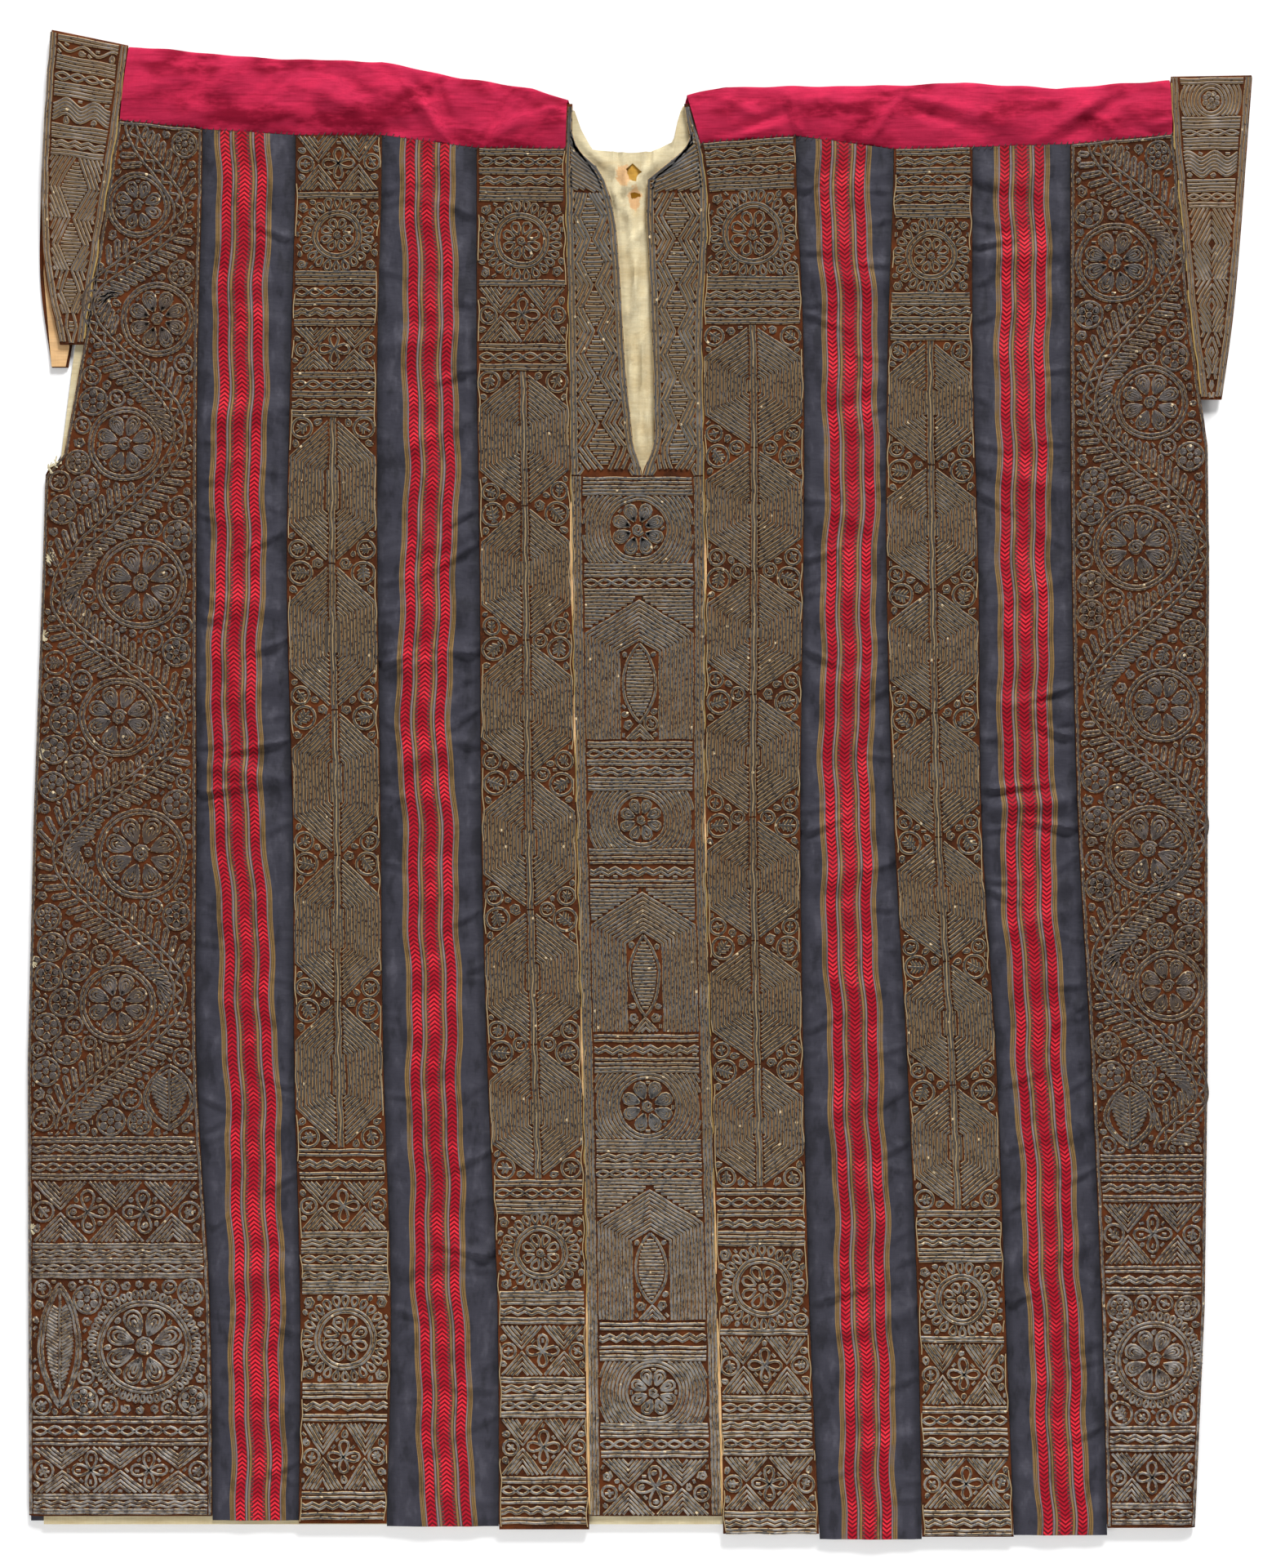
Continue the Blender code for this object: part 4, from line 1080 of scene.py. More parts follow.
def vine_points(piece):
    """Middle of a side panel's vine: half a cosine wave from each turning point to the next."""
    turns = np.array(VINES[piece], dtype=float)
    y = np.arange(turns[0, 1], turns[-1, 1], -1.5)
    after = np.clip(np.searchsorted(-turns[:, 1], -y), 1, len(turns) - 1)
    share = (turns[after - 1, 1] - y) / (turns[after - 1, 1] - turns[after, 1])
    x = turns[after - 1, 0] + (turns[after, 0] - turns[after - 1, 0]) * (1 - np.cos(math.pi * share)) / 2
    return even(np.stack((x, y), 1), 1.6)


def leaf(x, y, length, width):
    """A leaf up from its foot: three nested outlines, a midrib and slanting veins."""
    paths = [straight((x, y), (x, y + length - 3))]
    for inward in (0, CORD_PITCH):
        paths += almond(x, y + inward, length - 2.5 * inward, width - 2 * inward)
    for level in np.arange(0.16 * length, 0.8 * length, CORD_PITCH):
        reach = (width / 2 * math.sin(math.pi * level / length) ** 0.8) - 2 * CORD_PITCH
        if reach > 2:
            paths += [
                straight((x + hand * 1.4, y + level), (x + hand * reach, y + level + 0.5 * reach))
                for hand in (-1, 1)
            ]
    return paths


def rosette(x, y, radius):
    """Two rings round a flower."""
    return [ring(x, y, radius), ring(x, y, radius - CORD_PITCH)] + flower(x, y, radius - 2.1 * CORD_PITCH, 8)


def vine_paths(piece, edges, top):
    """A side panel's vine: two cords with a waving one between, slanting bars along both, and rosettes.

    The bars stay below the level of the top.
    """
    middle = vine_points(piece)
    run = np.gradient(middle, axis=0)
    run = run / np.hypot(run[:, 0], run[:, 1])[:, None]
    aside = np.stack((-run[:, 1], run[:, 0]), 1)
    number = np.arange(len(middle))
    left, right = edges(middle[:, 1])
    paths = [middle + 3.7 * aside, middle - 3.7 * aside]
    paths.append(middle + 1.9 * aside * np.sin(number * 1.12)[:, None])
    rosettes = np.array(ROSETTES[piece]) * (1, 1, 0.93)
    for hand in (-1, 1):
        for spot in range(4, len(middle) - 4, 4):
            start = middle[spot] + hand * 5.5 * aside[spot]
            for length in (13.0, 10.0, 7.0, 4.5):
                end = start + length * (0.82 * hand * aside[spot] - 0.57 * run[spot])
                clear = np.hypot(*(rosettes[:, :2] - end).T) > rosettes[:, 2] + 2.2
                if clear.all() and left[spot] + 2.5 < end[0] < right[spot] - 2.5 and end[1] < top:
                    paths.append(bar(start, end))
                    break
    for x, y, radius in rosettes:
        paths += rosette(x, y, radius)
    for foot in LEAVES[piece]:
        paths += leaf(*foot)
    return paths


def side_paths(piece):
    """All the cords of a side panel: the vine above, borders and a medallion across its foot."""
    whole = partial(strip_edges, piece)
    edges = partial(inset_edges, whole, 1.5, 1.5)
    level = SIDE_BORDER_TOP[piece]
    top = min(TOP_CORNERS[piece])
    paths = edge_lines(whole, top - 1, HEMS[piece] + 1, (1.4,)) + vine_paths(piece, edges, top - 2.5)
    ends = [float(edge[0]) for edge in edges(np.array([top - 1.3]))]
    paths.append(straight((ends[0], top - 1.3), (ends[1], top - 1.3)))
    flowers = 2 if piece == "side_left" else 1
    for motif, length in SIDE_BORDERS[piece]:
        if motif == "medallion":
            x, y, radius = SIDE_MEDALLIONS[piece]
            paths += rosette(x, y, radius) + drop_ring(x, y, radius + 1.7, 5.2)
            for palm in SIDE_PALMS[piece]:
                paths += leaf(*palm)
        else:
            half = strip_half(edges, level - length / 2)
            drawn = points(half, length, flowers) if motif == "points" else MOTIFS[motif](half, length)
            paths += lay(drawn, edges, level, half)
        level -= length
    paths += fill_bare(paths, whole, HEMS[piece] + 1, top, 9.0)
    return slanted(paths, whole, TOP_CORNERS[piece], top - 60)


def sleeve_paths(side):
    """All the cords of a sleeve band's front, its rows slanting towards the fold as the fold does."""
    edges = partial(sleeve_edges, side)
    inner = partial(inset_edges, edges, 4.4, 4.4)
    outer_fold, fold, foot, _ = SLEEVE_LEVELS[side]
    top = fold - 1.5
    paths = edge_lines(edges, top, foot + 2, (1.4, 3.7))
    paths += lay_motifs(SLEEVE_EMBROIDERY[side], inner, top)
    paths += fill_bare(paths, inner, foot + 2, top, 5.0, twigs=False)
    corners = (outer_fold - 1.5, top) if side == "left" else (top, outer_fold - 1.5)
    return slanted(paths, edges, corners, foot)


class Shading:
    """Adds nodes to one tree. A value is a number, a vector, a colour or another node's output."""

    def __init__(self, tree):
        self.tree = tree

    def add(self, kind, inputs, **settings):
        node = self.tree.nodes.new(kind)
        for name, value in settings.items():
            setattr(node, name, value)
        for key, value in inputs.items():
            self.put(node.inputs[key], value)
        return node

    def put(self, socket, value):
        if isinstance(value, bpy.types.NodeSocket):
            self.tree.links.new(value, socket)
        elif socket.type == "RGBA" and len(value) == 3:
            socket.default_value = (*value, 1.0)
        else:
            socket.default_value = value

    def math(self, operation, *values, clamp=False):
        node = self.add("ShaderNodeMath", dict(enumerate(values)), operation=operation, use_clamp=clamp)
        return node.outputs[0]

    def times(self, one, other):
        return self.math("MULTIPLY", one, other)

    def line(self, value, slope, start):
        """A value times a slope, plus a start."""
        return self.math("MULTIPLY_ADD", value, slope, start)

    def rest(self, value):
        """What a value leaves of one."""
        return self.math("SUBTRACT", 1.0, value)

    def mix(self, factor, first, second, blend="MIX"):
        node = self.add("ShaderNodeMix", {0: factor, 6: first, 7: second}, data_type="RGBA", blend_type=blend)
        return node.outputs[2]

    def noise(self, place, scale, detail=2.0, roughness=0.5):
        inputs = {"Vector": place, "Scale": scale, "Detail": detail, "Roughness": roughness}
        return self.add("ShaderNodeTexNoise", inputs).outputs[0]

    def noise_along(self, value, scale):
        """Noise over one number, such as the length along a cord."""
        inputs = {"W": value, "Scale": scale, "Detail": 2.0}
        return self.add("ShaderNodeTexNoise", inputs, noise_dimensions="1D").outputs[0]

    def between(self, value, low, high):
        """Nought below low, one above high, and a smooth step from one to the other."""
        inputs = {"Value": value, "From Min": low, "From Max": high}
        return self.add("ShaderNodeMapRange", inputs, interpolation_type="SMOOTHSTEP").outputs[0]

    def stretch(self, place, factors):
        return self.add("ShaderNodeVectorMath", {0: place, 1: factors}, operation="MULTIPLY").outputs[0]

    def bands(self, value, stops):
        """Flat colours side by side: each stop's colour holds from its place up to the next."""
        ramp = self.add("ShaderNodeValToRGB", {"Fac": value})
        ramp.color_ramp.interpolation = "CONSTANT"
        elements = ramp.color_ramp.elements
        elements[0].position, elements[0].color = stops[0][0], (*stops[0][1], 1.0)
        elements.remove(elements[1])
        for position, colour in stops[1:]:
            elements.new(position).color = (*colour, 1.0)
        return ramp.outputs[0]

    def dots(self, place, scale, radius):
        """One inside small spots strewn over the place, nought between them."""
        cells = self.add("ShaderNodeTexVoronoi", {"Vector": place, "Scale": scale}).outputs["Distance"]
        return self.rest(self.between(cells, radius * 0.7, radius))

    def tone(self, shade, value):
        """A colour times a grey value."""
        grey = self.add("ShaderNodeCombineColor", {0: value, 1: value, 2: value}).outputs[0]
        return self.mix(1.0, shade, grey, "MULTIPLY")

    def bump(self, height, strength, distance):
        inputs = {"Height": height, "Strength": strength, "Distance": distance}
        return self.add("ShaderNodeBump", inputs).outputs[0]


def new_group(name, inputs, outputs):
    """An empty shader group with named sockets: its helper, its input node's outputs and its output node."""
    tree = bpy.data.node_groups.new(name, "ShaderNodeTree")
    for title, kind, value in inputs:
        socket = tree.interface.new_socket(title, in_out="INPUT", socket_type=kind)
        if value is not None:
            socket.default_value = value
    for title in outputs:
        tree.interface.new_socket(title, in_out="OUTPUT", socket_type="NodeSocketFloat")
    shading = Shading(tree)
    return shading, shading.add("NodeGroupInput", {}).outputs, shading.add("NodeGroupOutput", {}).inputs


def make_weave_group():
    """Plain weave over a place in millimetres: threads cross over and under, each a little its own tone.

    Crumple is the distance of a slow noise from its middle, so it has creases where it is nought.
    """
    sockets = (("Place", "NodeSocketVector", None), ("Threads per mm", "NodeSocketFloat", 2.0))
    shading, given, made = new_group("tunic_weave", sockets, ("Height", "Tone", "Crumple"))
    inputs = {0: given["Place"], "Scale": given["Threads per mm"]}
    scaled = shading.add("ShaderNodeVectorMath", inputs, operation="SCALE").outputs[0]
    axes = shading.add("ShaderNodeSeparateXYZ", {0: scaled}).outputs
    warp = shading.math("ABSOLUTE", shading.math("SINE", shading.times(axes[0], math.pi)))
    weft = shading.math("ABSOLUTE", shading.math("SINE", shading.times(axes[1], math.pi)))
    steps = shading.math("ADD", shading.math("FLOOR", axes[0]), shading.math("FLOOR", axes[1]))
    over = shading.math("FLOORED_MODULO", steps, 2.0)
    warp_up = shading.times(warp, shading.line(over, 0.6, 0.4))
    weft_up = shading.times(weft, shading.line(over, -0.6, 1.0))
    shading.put(made["Height"], shading.math("MAXIMUM", warp_up, weft_up))
    slub = shading.noise(shading.stretch(scaled, (0.05, 0.9, 1.0)), 1.0, 2.0)
    rib = shading.noise(shading.stretch(scaled, (0.9, 0.04, 1.0)), 1.0, 2.0)
    shading.put(made["Tone"], shading.line(rib, 0.4, shading.times(slub, 0.6)))
    slow = shading.noise(shading.stretch(given["Place"], (0.55, 1.0, 1.0)), 0.08, 3.0, 0.6)
    shading.put(made["Crumple"], shading.math("ABSOLUTE", shading.math("SUBTRACT", slow, 0.5)))
    return shading.tree


def make_ageing_group():
    """Uneven age over a place in millimetres: broad stains, hand-sized fading and fine grit."""
    shading, given, made = new_group(
        "tunic_ageing", (("Place", "NodeSocketVector", None),), ("Stain", "Fade", "Grit"))
    place = given["Place"]
    shading.put(made["Stain"], shading.between(shading.noise(place, 0.016, 3.0), 0.46, 0.68))
    shading.put(made["Fade"], shading.between(shading.noise(place, 0.06, 4.0, 0.6), 0.38, 0.72))
    shading.put(made["Grit"], shading.noise(place, 1.3, 2.0, 0.6))
    return shading.tree


def new_material(name):
    """A material, its node helper, its shader, and the place on the piece in millimetres."""
    material = bpy.data.materials.new(name)
    material.use_nodes = True
    shading = Shading(material.node_tree)
    shader = material.node_tree.nodes["Principled BSDF"]
    where = shading.add("ShaderNodeTexCoord", {}).outputs["Object"]
    return material, shading, shader, shading.stretch(where, (1000, 1000, 1000))


def use_group(shading, name, inputs):
    node = shading.add("ShaderNodeGroup", {}, node_tree=bpy.data.node_groups[name])
    for key, value in inputs.items():
        shading.put(node.inputs[key], value)
    return node.outputs


def uv_millimetres(shading):
    """u and v of the piece's own map, in millimetres."""
    both = shading.stretch(shading.add("ShaderNodeUVMap", {}, uv_map="UVMap").outputs[0], (1000, 1000, 1))
    return shading.add("ShaderNodeSeparateXYZ", {0: both}).outputs


def make_velvet(colour):
    """Rust-brown velvet: pile brushed in patches, worn paler here and there."""
    material, shading, shader, place = new_material("velvet_pile")
    age = use_group(shading, "tunic_ageing", {"Place": place})
    dark = (colour[0] * 0.36, colour[1] * 0.25, colour[2] * 0.18)
    rust = (colour[0] * 1.0, colour[1] * 0.58, colour[2] * 0.28)
    shade = shading.mix(age["Fade"], dark, rust)
    shade = shading.mix(shading.between(age["Grit"], 0.5, 0.75), shade, rust)
    shading.put(shader.inputs["Base Color"], shade)
    shader.inputs["Roughness"].default_value = 0.95
    shader.inputs["Specular IOR Level"].default_value = 0.1
    shader.inputs["Sheen Weight"].default_value = 0.05
    shader.inputs["Sheen Roughness"].default_value = 0.4
    shader.inputs["Sheen Tint"].default_value = (0.6, 0.25, 0.1, 1)
    shading.put(shader.inputs["Normal"], shading.bump(age["Grit"], 0.5, 0.0006))
    return material


def make_cord(name, colour, gold, gold_share):
    """Tarnished metal cord: fine ribs across it, browner, greyer and paler lengths, gold thread at its edges.

    Towards the hem a painted highlight of pale silver lies in patches and the cord is less rough; a few pale
    knots of the couching thread are strewn all over.
    """
    material, shading, shader, place = new_material(name)
    age = use_group(shading, "tunic_ageing", {"Place": place})
    along, across = uv_millimetres(shading)[:2]
    across = shading.times(across, 0.001)
    turns = shading.line(across, 0.9, shading.math("DIVIDE", along, 1.1))
    rib = shading.math("SINE", shading.times(turns, 2 * math.pi))
    rib = shading.line(rib, 0.5, 0.5)
    core = (colour[0] * 0.75, colour[1] * 0.55, colour[2] * 0.38)
    rust = (colour[0] * 1.15, colour[1] * 0.9, colour[2] * 0.65)
    pale = tuple(min(1.0, value * 2.1) for value in colour)
    dark = tuple(value * 0.4 for value in colour)
    shade = shading.mix(shading.between(shading.noise(place, 0.021, 2.0, 0.5), 0.42, 0.64), colour, rust)
    shade = shading.mix(shading.between(shading.noise(place, 0.22, 3.0, 0.65), 0.50, 0.66), shade, core)
    shade = shading.mix(shading.between(shading.noise(place, 0.09, 3.0, 0.6), 0.5, 0.72), shade, pale)
    shade = shading.mix(shading.times(rib, 0.25), shade, dark)
    shade = shading.mix(shading.times(age["Stain"], 0.4), shade, dark)
    level = shading.add("ShaderNodeSeparateXYZ", {0: place}).outputs[1]
    # Painted highlight: towards the hem, patches of pale silver are painted into the cord's colour, and there
    # the cord is also less rough.
    hem_highlight_share = shading.rest(shading.between(level, -440.0, -150.0))
    painted_glint_and_polish = shading.times(hem_highlight_share, shading.between(shading.noise(place, 0.16, 3.0, 0.6), 0.4, 0.62))
    shade = shading.mix(shading.times(painted_glint_and_polish, 0.55), shade, (0.31, 0.295, 0.28))
    edge = shading.math("MINIMUM", across, shading.rest(across))
    edge = shading.rest(shading.between(edge, 0.15, 0.22))
    other_side = shading.math("GREATER_THAN", across, 0.5)
    lengths = shading.noise_along(shading.line(other_side, 517.0, along), 0.31)
    dash = shading.between(lengths, 0.61 - 0.2 * gold_share, 0.65 - 0.2 * gold_share)
    shade = shading.mix(shading.times(edge, dash), shade, gold)
    knots = shading.times(shading.dots(place, 0.085, 0.1), shading.between(age["Grit"], 0.35, 0.5))
    shading.put(shader.inputs["Base Color"], shading.mix(knots, shade, (0.60, 0.48, 0.30)))
    rough = shading.line(age["Grit"], 0.25, 0.42)
    shading.put(shader.inputs["Roughness"], shading.line(painted_glint_and_polish, -0.16, rough))
    shader.inputs["Metallic"].default_value = 0.3
    shading.put(shader.inputs["Normal"], shading.bump(rib, 0.3, 0.0003))
    return material


def make_ribbon_silk(colours):
    """Dark blue silk with woven stripes about u = 0: red with stacked points, tan and grey lines."""
    material, shading, shader, place = new_material("ribbon_silk")
    age = use_group(shading, "tunic_ageing", {"Place": place})
    weave = use_group(shading, "tunic_weave", {"Place": place, "Threads per mm": 2.2})
    across, along = uv_millimetres(shading)[:2]
    apart = shading.math("ABSOLUTE", across)
    navy, red = colours.navy[:], colours.stripe_red[:]
    tan, grey = colours.stripe_tan[:], colours.stripe_grey[:]
    brown = tuple(value * 0.25 for value in tan)
    lines = (
        (0.0, red), (4.8, brown), (5.1, tan), (6.3, brown), (7.0, grey), (8.0, brown), (8.7, red),
        (14.6, brown), (14.9, grey), (15.7, brown), (16.1, tan), (16.8, brown), (17.2, tan),
        (17.8, brown), (18.1, tan), (18.7, navy),
    )
    stripes = shading.bands(shading.math("DIVIDE", apart, 40.0), [(at / 40, colour) for at, colour in lines])
    # Painted highlight and painted shade: slanting patches of the silk are painted paler blue-grey and others
    # darker, as light and shade on wrinkles.
    slant = shading.noise(shading.stretch(place, (1.0, 0.45, 1.0)), 0.10, 3.0, 0.6)
    painted_highlight = shading.times(shading.between(slant, 0.54, 0.72), 0.3)
    stripes = shading.mix(painted_highlight, stripes, (0.11, 0.105, 0.13))
    stripes = shading.tone(stripes, shading.line(shading.between(slant, 0.50, 0.34), -0.4, 1.0))

    side = shading.math("ABSOLUTE", shading.math("SUBTRACT", apart, 11.65))
    in_side = shading.math("LESS_THAN", side, 2.95)
    in_middle = shading.math("LESS_THAN", apart, 4.8)
    arm = shading.math("MINIMUM", side, apart)
    points = shading.math("FRACT", shading.math("DIVIDE", shading.line(arm, -0.85, along), 3.0))
    raised = shading.rest(shading.between(points, 0.38, 0.6))
    red_zone = shading.math("MAXIMUM", in_side, in_middle)
    bright = (min(1.0, red[0] * 1.9), red[1] * 4.0 + 0.010, red[2] * 2.5)
    deep = (red[0] * 0.3, red[1] * 0.2, red[2] * 0.4)
    # Painted sheen: in slow patches the raised points are painted a brighter red.
    painted_sheen = shading.between(shading.noise(shading.stretch(place, (0.4, 1, 1)), 0.05, 2.0), 0.44, 0.66)
    pointed = shading.mix(raised, deep, shading.mix(painted_sheen, red, bright))
    shade = shading.mix(red_zone, stripes, pointed)
    comb = shading.math("GREATER_THAN", shading.math("FRACT", shading.math("DIVIDE", along, 1.7)), 0.5)
    teeth = shading.times(comb, shading.math("GREATER_THAN", apart, 3.1))
    teeth = shading.times(teeth, in_middle)
    shade = shading.mix(teeth, shade, (grey[0] * 0.3, grey[1] * 0.3, grey[2] * 0.24))

    share = shading.add("ShaderNodeAttribute", {}, attribute_name="across").outputs["Fac"]
    inward = shading.math("MINIMUM", share, shading.rest(share))
    # Painted shade: the silk is painted darker towards its sewn edges, down to half at the edge, where the
    # raised bands beside it would shade it.
    painted_edge_shade = shading.line(shading.between(inward, 0.0, 0.10), 0.5, 0.5)
    tone = shading.line(weave["Tone"], 0.6, 0.7)
    shading.put(shader.inputs["Base Color"], shading.tone(shade, shading.times(tone, painted_edge_shade)))
    shading.put(shader.inputs["Roughness"], shading.line(age["Stain"], 0.15, 0.45))
    shader.inputs["Specular IOR Level"].default_value = 0.12
    height = shading.line(raised, shading.times(red_zone, 0.6), weave["Height"])
    height = shading.line(weave["Crumple"], 16.0, height)
    shading.put(shader.inputs["Normal"], shading.bump(height, 0.4, 0.0003))
    return material


def make_cotton(name, colour, threads, fade, stain, worn, wear=()):
    """Plain cotton: woven threads of uneven tone, slubs along its weft, faded, stained and worn in places.

    A worn place is a stained oval with a wandering edge; some have a slot in the middle, not cut but painted
    dark brown as the layer beneath in painted shade.
    """
    material, shading, shader, place = new_material(name)
    age = use_group(shading, "tunic_ageing", {"Place": shading.stretch(place, (0.8, 1.9, 1.0))})
    weave = use_group(shading, "tunic_weave", {"Place": place, "Threads per mm": threads})
    slub = shading.noise(shading.stretch(place, (0.05, 1.0, 1.0)), 0.6, 3.0, 0.6)
    patches = shading.between(shading.noise(shading.stretch(place, (0.42, 1.0, 1.0)), 0.045, 2.0), 0.43, 0.60)
    shade = shading.mix(shading.times(patches, worn * worn), colour, stain)
    shade = shading.mix(shading.times(age["Fade"], worn), shade, fade)
    shade = shading.mix(shading.times(shading.between(slub, 0.45, 0.75), worn * 0.4), shade, stain)
    rim = shading.line(shading.noise(place, 0.22, 4.0, 0.7), 2.4, -1.2)
    for x, y, wide, high, slot in wear:
        moved = shading.add("ShaderNodeVectorMath", {0: place, 1: (-x, -y, 0)}, operation="ADD").outputs[0]
        moved = shading.stretch(moved, (1 / wide, 1 / high, 0))
        reach = shading.add("ShaderNodeVectorMath", {0: moved}, operation="LENGTH").outputs["Value"]
        reach = shading.math("ADD", reach, rim)
        shade = shading.mix(shading.between(reach, 1.5, 1.1), shade, (0.58, 0.36, 0.18))
        # Painted shade: a slot's core is painted dark brown, the ochre layer beneath as it would look in
        # shade.
        core = shading.times(shading.between(reach, 0.95, 0.8), slot)
        shade = shading.mix(core, shade, (0.20, 0.085, 0.006))
    tone = shading.line(weave["Tone"], 0.5, 0.75)
    shading.put(shader.inputs["Base Color"], shading.tone(shade, tone))
    shading.put(shader.inputs["Roughness"], shading.line(age["Grit"], 0.2, 0.68))
    shader.inputs["Specular IOR Level"].default_value = 0.05
    height = shading.line(weave["Crumple"], 16.0, weave["Height"])
    shading.put(shader.inputs["Normal"], shading.bump(height, 0.4, 0.0003))
    return material


def make_thread(name, colour):
    """Sewing thread: two strands twisted about each other."""
    material, shading, shader, place = new_material(name)
    along, across = uv_millimetres(shading)[:2]
    twist = shading.line(across, 0.0012, shading.math("DIVIDE", along, 1.1))
    twist = shading.line(shading.math("SINE", shading.times(twist, 6.283)), 0.5, 0.5)
    tone = shading.line(shading.noise(place, 0.4), 0.4, shading.times(twist, 0.4))
    dark = tuple(value * 0.45 for value in colour)
    shading.put(shader.inputs["Base Color"], shading.mix(tone, colour, dark))
    shader.inputs["Roughness"].default_value = 0.6
    shading.put(shader.inputs["Normal"], shading.bump(twist, 0.4, 0.0002))
    return material


def material_named(name, maker, *values):
    """The material of that name, made the first time it is asked for."""
    return bpy.data.materials.get(name) or maker(*values)


def cord_material(kind, colours):
    share = {"band": 1.1, "side": 0.65, "center": 0.9, "slit": 1.3, "sleeve": 1.3}[kind]
    colour = getattr(colours, "cord_center" if kind == "slit" else "cord_" + kind)[:]
    return material_named("cord_" + kind, make_cord, "cord_" + kind, colour, colours.gold_thread[:], share)


def velvet_material(colours):
    return material_named("velvet_pile", make_velvet, colours.velvet[:])


def flat_map(x, y):
    """A map of the place itself, in metres."""
    return np.stack((x, y), -1) * MM


def cloth_arrays(x, y, height, wall):
    """Top grid of a cloth at a height, and its closed wall, mapped by the place itself."""
    top = np.stack((x, y, np.broadcast_to(height, x.shape)), -1)
    return top, wall_arrays(top, top - (0, 0, wall), flat_map(x, y))


def velvet_wall(piece, edges, columns, rows):
    """Top grid and closed wall of a velvet strip."""
    x, y, _ = strip_grid(edges, HEMS[piece], TOP_CORNERS[piece], columns, rows)
    return cloth_arrays(x, y, velvet_height(piece, x, y), VELVET_WALL)


def add_cords(name, paths, height, kind, context, bold=1.0):
    """The embroidery of one cloth as a piece of its own, its cords as much wider and higher as bold says."""
    sizes = context.scene.tunic_sizes
    arrays = cord_arrays(paths, height, bold * sizes.cord_width / MM, bold * sizes.cord_rise / MM)
    return add_piece(name, arrays, cord_material(kind, context.scene.tunic_colours), sharp=80)


def lay_velvet(context, piece, paths, kind, counts):
    """A velvet strip on a grid of so many columns and rows, with its couched cords."""
    top, arrays = velvet_wall(piece, partial(strip_edges, piece), *counts)
    cloth = add_piece(piece + "_velvet", arrays, velvet_material(context.scene.tunic_colours))
    cords = add_cords(piece + "_cords", paths, partial(velvet_height, piece), kind, context)
    declare_cloth(piece)


def outside_armhole(inset):
    """The left outer edge less its armhole, moved in by the inset, as rows of y and x."""
    low, high = BACK_ARMHOLE_LEVELS
    return [(y, x + inset) for y, x in OUTER["left"] if y < low or y > high]


def shoulder_corners(side, inset):
    """Corners of the seam under a shoulder piece, moved in from the edges of the strips below it."""
    corners = []
    for piece in FRONT_PIECES[:5] if side == "left" else FRONT_PIECES[6:]:
        levels = TOP_CORNERS[piece]
        left, right = strip_edges(piece, np.array(levels, dtype=float))
        corners += [(left[0] + inset, levels[0]), (right[1] - inset, levels[1])]
    return corners


class TUNIC_OT_back(bpy.types.Operator):
    """Lay the plain back on the surface"""

    bl_idname = "tunic.back"
    bl_label = "Back"

    def execute(self, context):
        colour = context.scene.tunic_colours.back[:]
        material = make_cotton("back_cloth", colour, 1.6, (0.11, 0.10, 0.10), (0.03, 0.025, 0.03), 0.5)
        left = outside_armhole(BACK_INSET)
        left += [(211, -400), *BACK_ARMHOLE_LEFT, (310, -371.6)]
        edges = partial(table_edges, left, OUTER["right"], 0, BACK_INSET)
        x, y, _ = strip_grid(edges, BACK_HEM, (BACK_TOP, BACK_TOP), 40, 60)
        top, arrays = cloth_arrays(x, y, BACK_WALL, BACK_WALL)
        piece = add_piece("back_cloth", arrays, material)
        declare_cloth("back")
        return {"FINISHED"}


def table_edges(left, right, left_by, right_by, y):
    """Edges read from two tables of y and x, moved in by a distance."""
    return read_along(left, y) + left_by, read_along(right, y) - right_by


def rip_outline():
    """Corners round the rip, each on an oval of its own reach, and a frayed point within each edge."""
    share, reach = np.array(RIP_CORNERS).T
    turn = 2 * math.pi * share
    corners = reach[:, None] * np.stack((np.cos(turn), np.sin(turn)), -1)
    between = (corners + np.roll(corners, -1, 0)) / 2
    between *= np.random.default_rng(11).uniform(0.88, 1.1, (len(between), 1))
    ring = np.stack((corners, between), 1).reshape(-1, 2)
    return np.array(NECK_RIP[:2]) + ring * NECK_RIP[2:]


def cut_through(piece, outline, low, high):
    """Cut a prism of an outline, between two heights, out of a piece."""
    count = len(outline)
    ring = np.arange(count)
    following = np.roll(ring, -1)
    sides = np.stack((ring, following, following + count, ring + count), -1).tolist()
    points = np.concatenate([np.column_stack((outline, np.full(count, z))) for z in (low, high)])
    mesh = bpy.data.meshes.new("rip_cutter")
    mesh.from_pydata((points * MM).tolist(), [], sides + [ring[::-1].tolist(), (ring + count).tolist()])
    cutter = bpy.data.objects.new("rip_cutter", mesh)
    bpy.context.scene.collection.objects.link(cutter)
    cut = piece.modifiers.new("rip", "BOOLEAN")
    cut.operation = "DIFFERENCE"
    cut.solver = "EXACT"
    cut.object = cutter
    shaped = piece.evaluated_get(bpy.context.evaluated_depsgraph_get())
    cut_mesh = bpy.data.meshes.new_from_object(shaped)
    piece.modifiers.clear()
    piece.data = cut_mesh
    bpy.data.objects.remove(cutter)


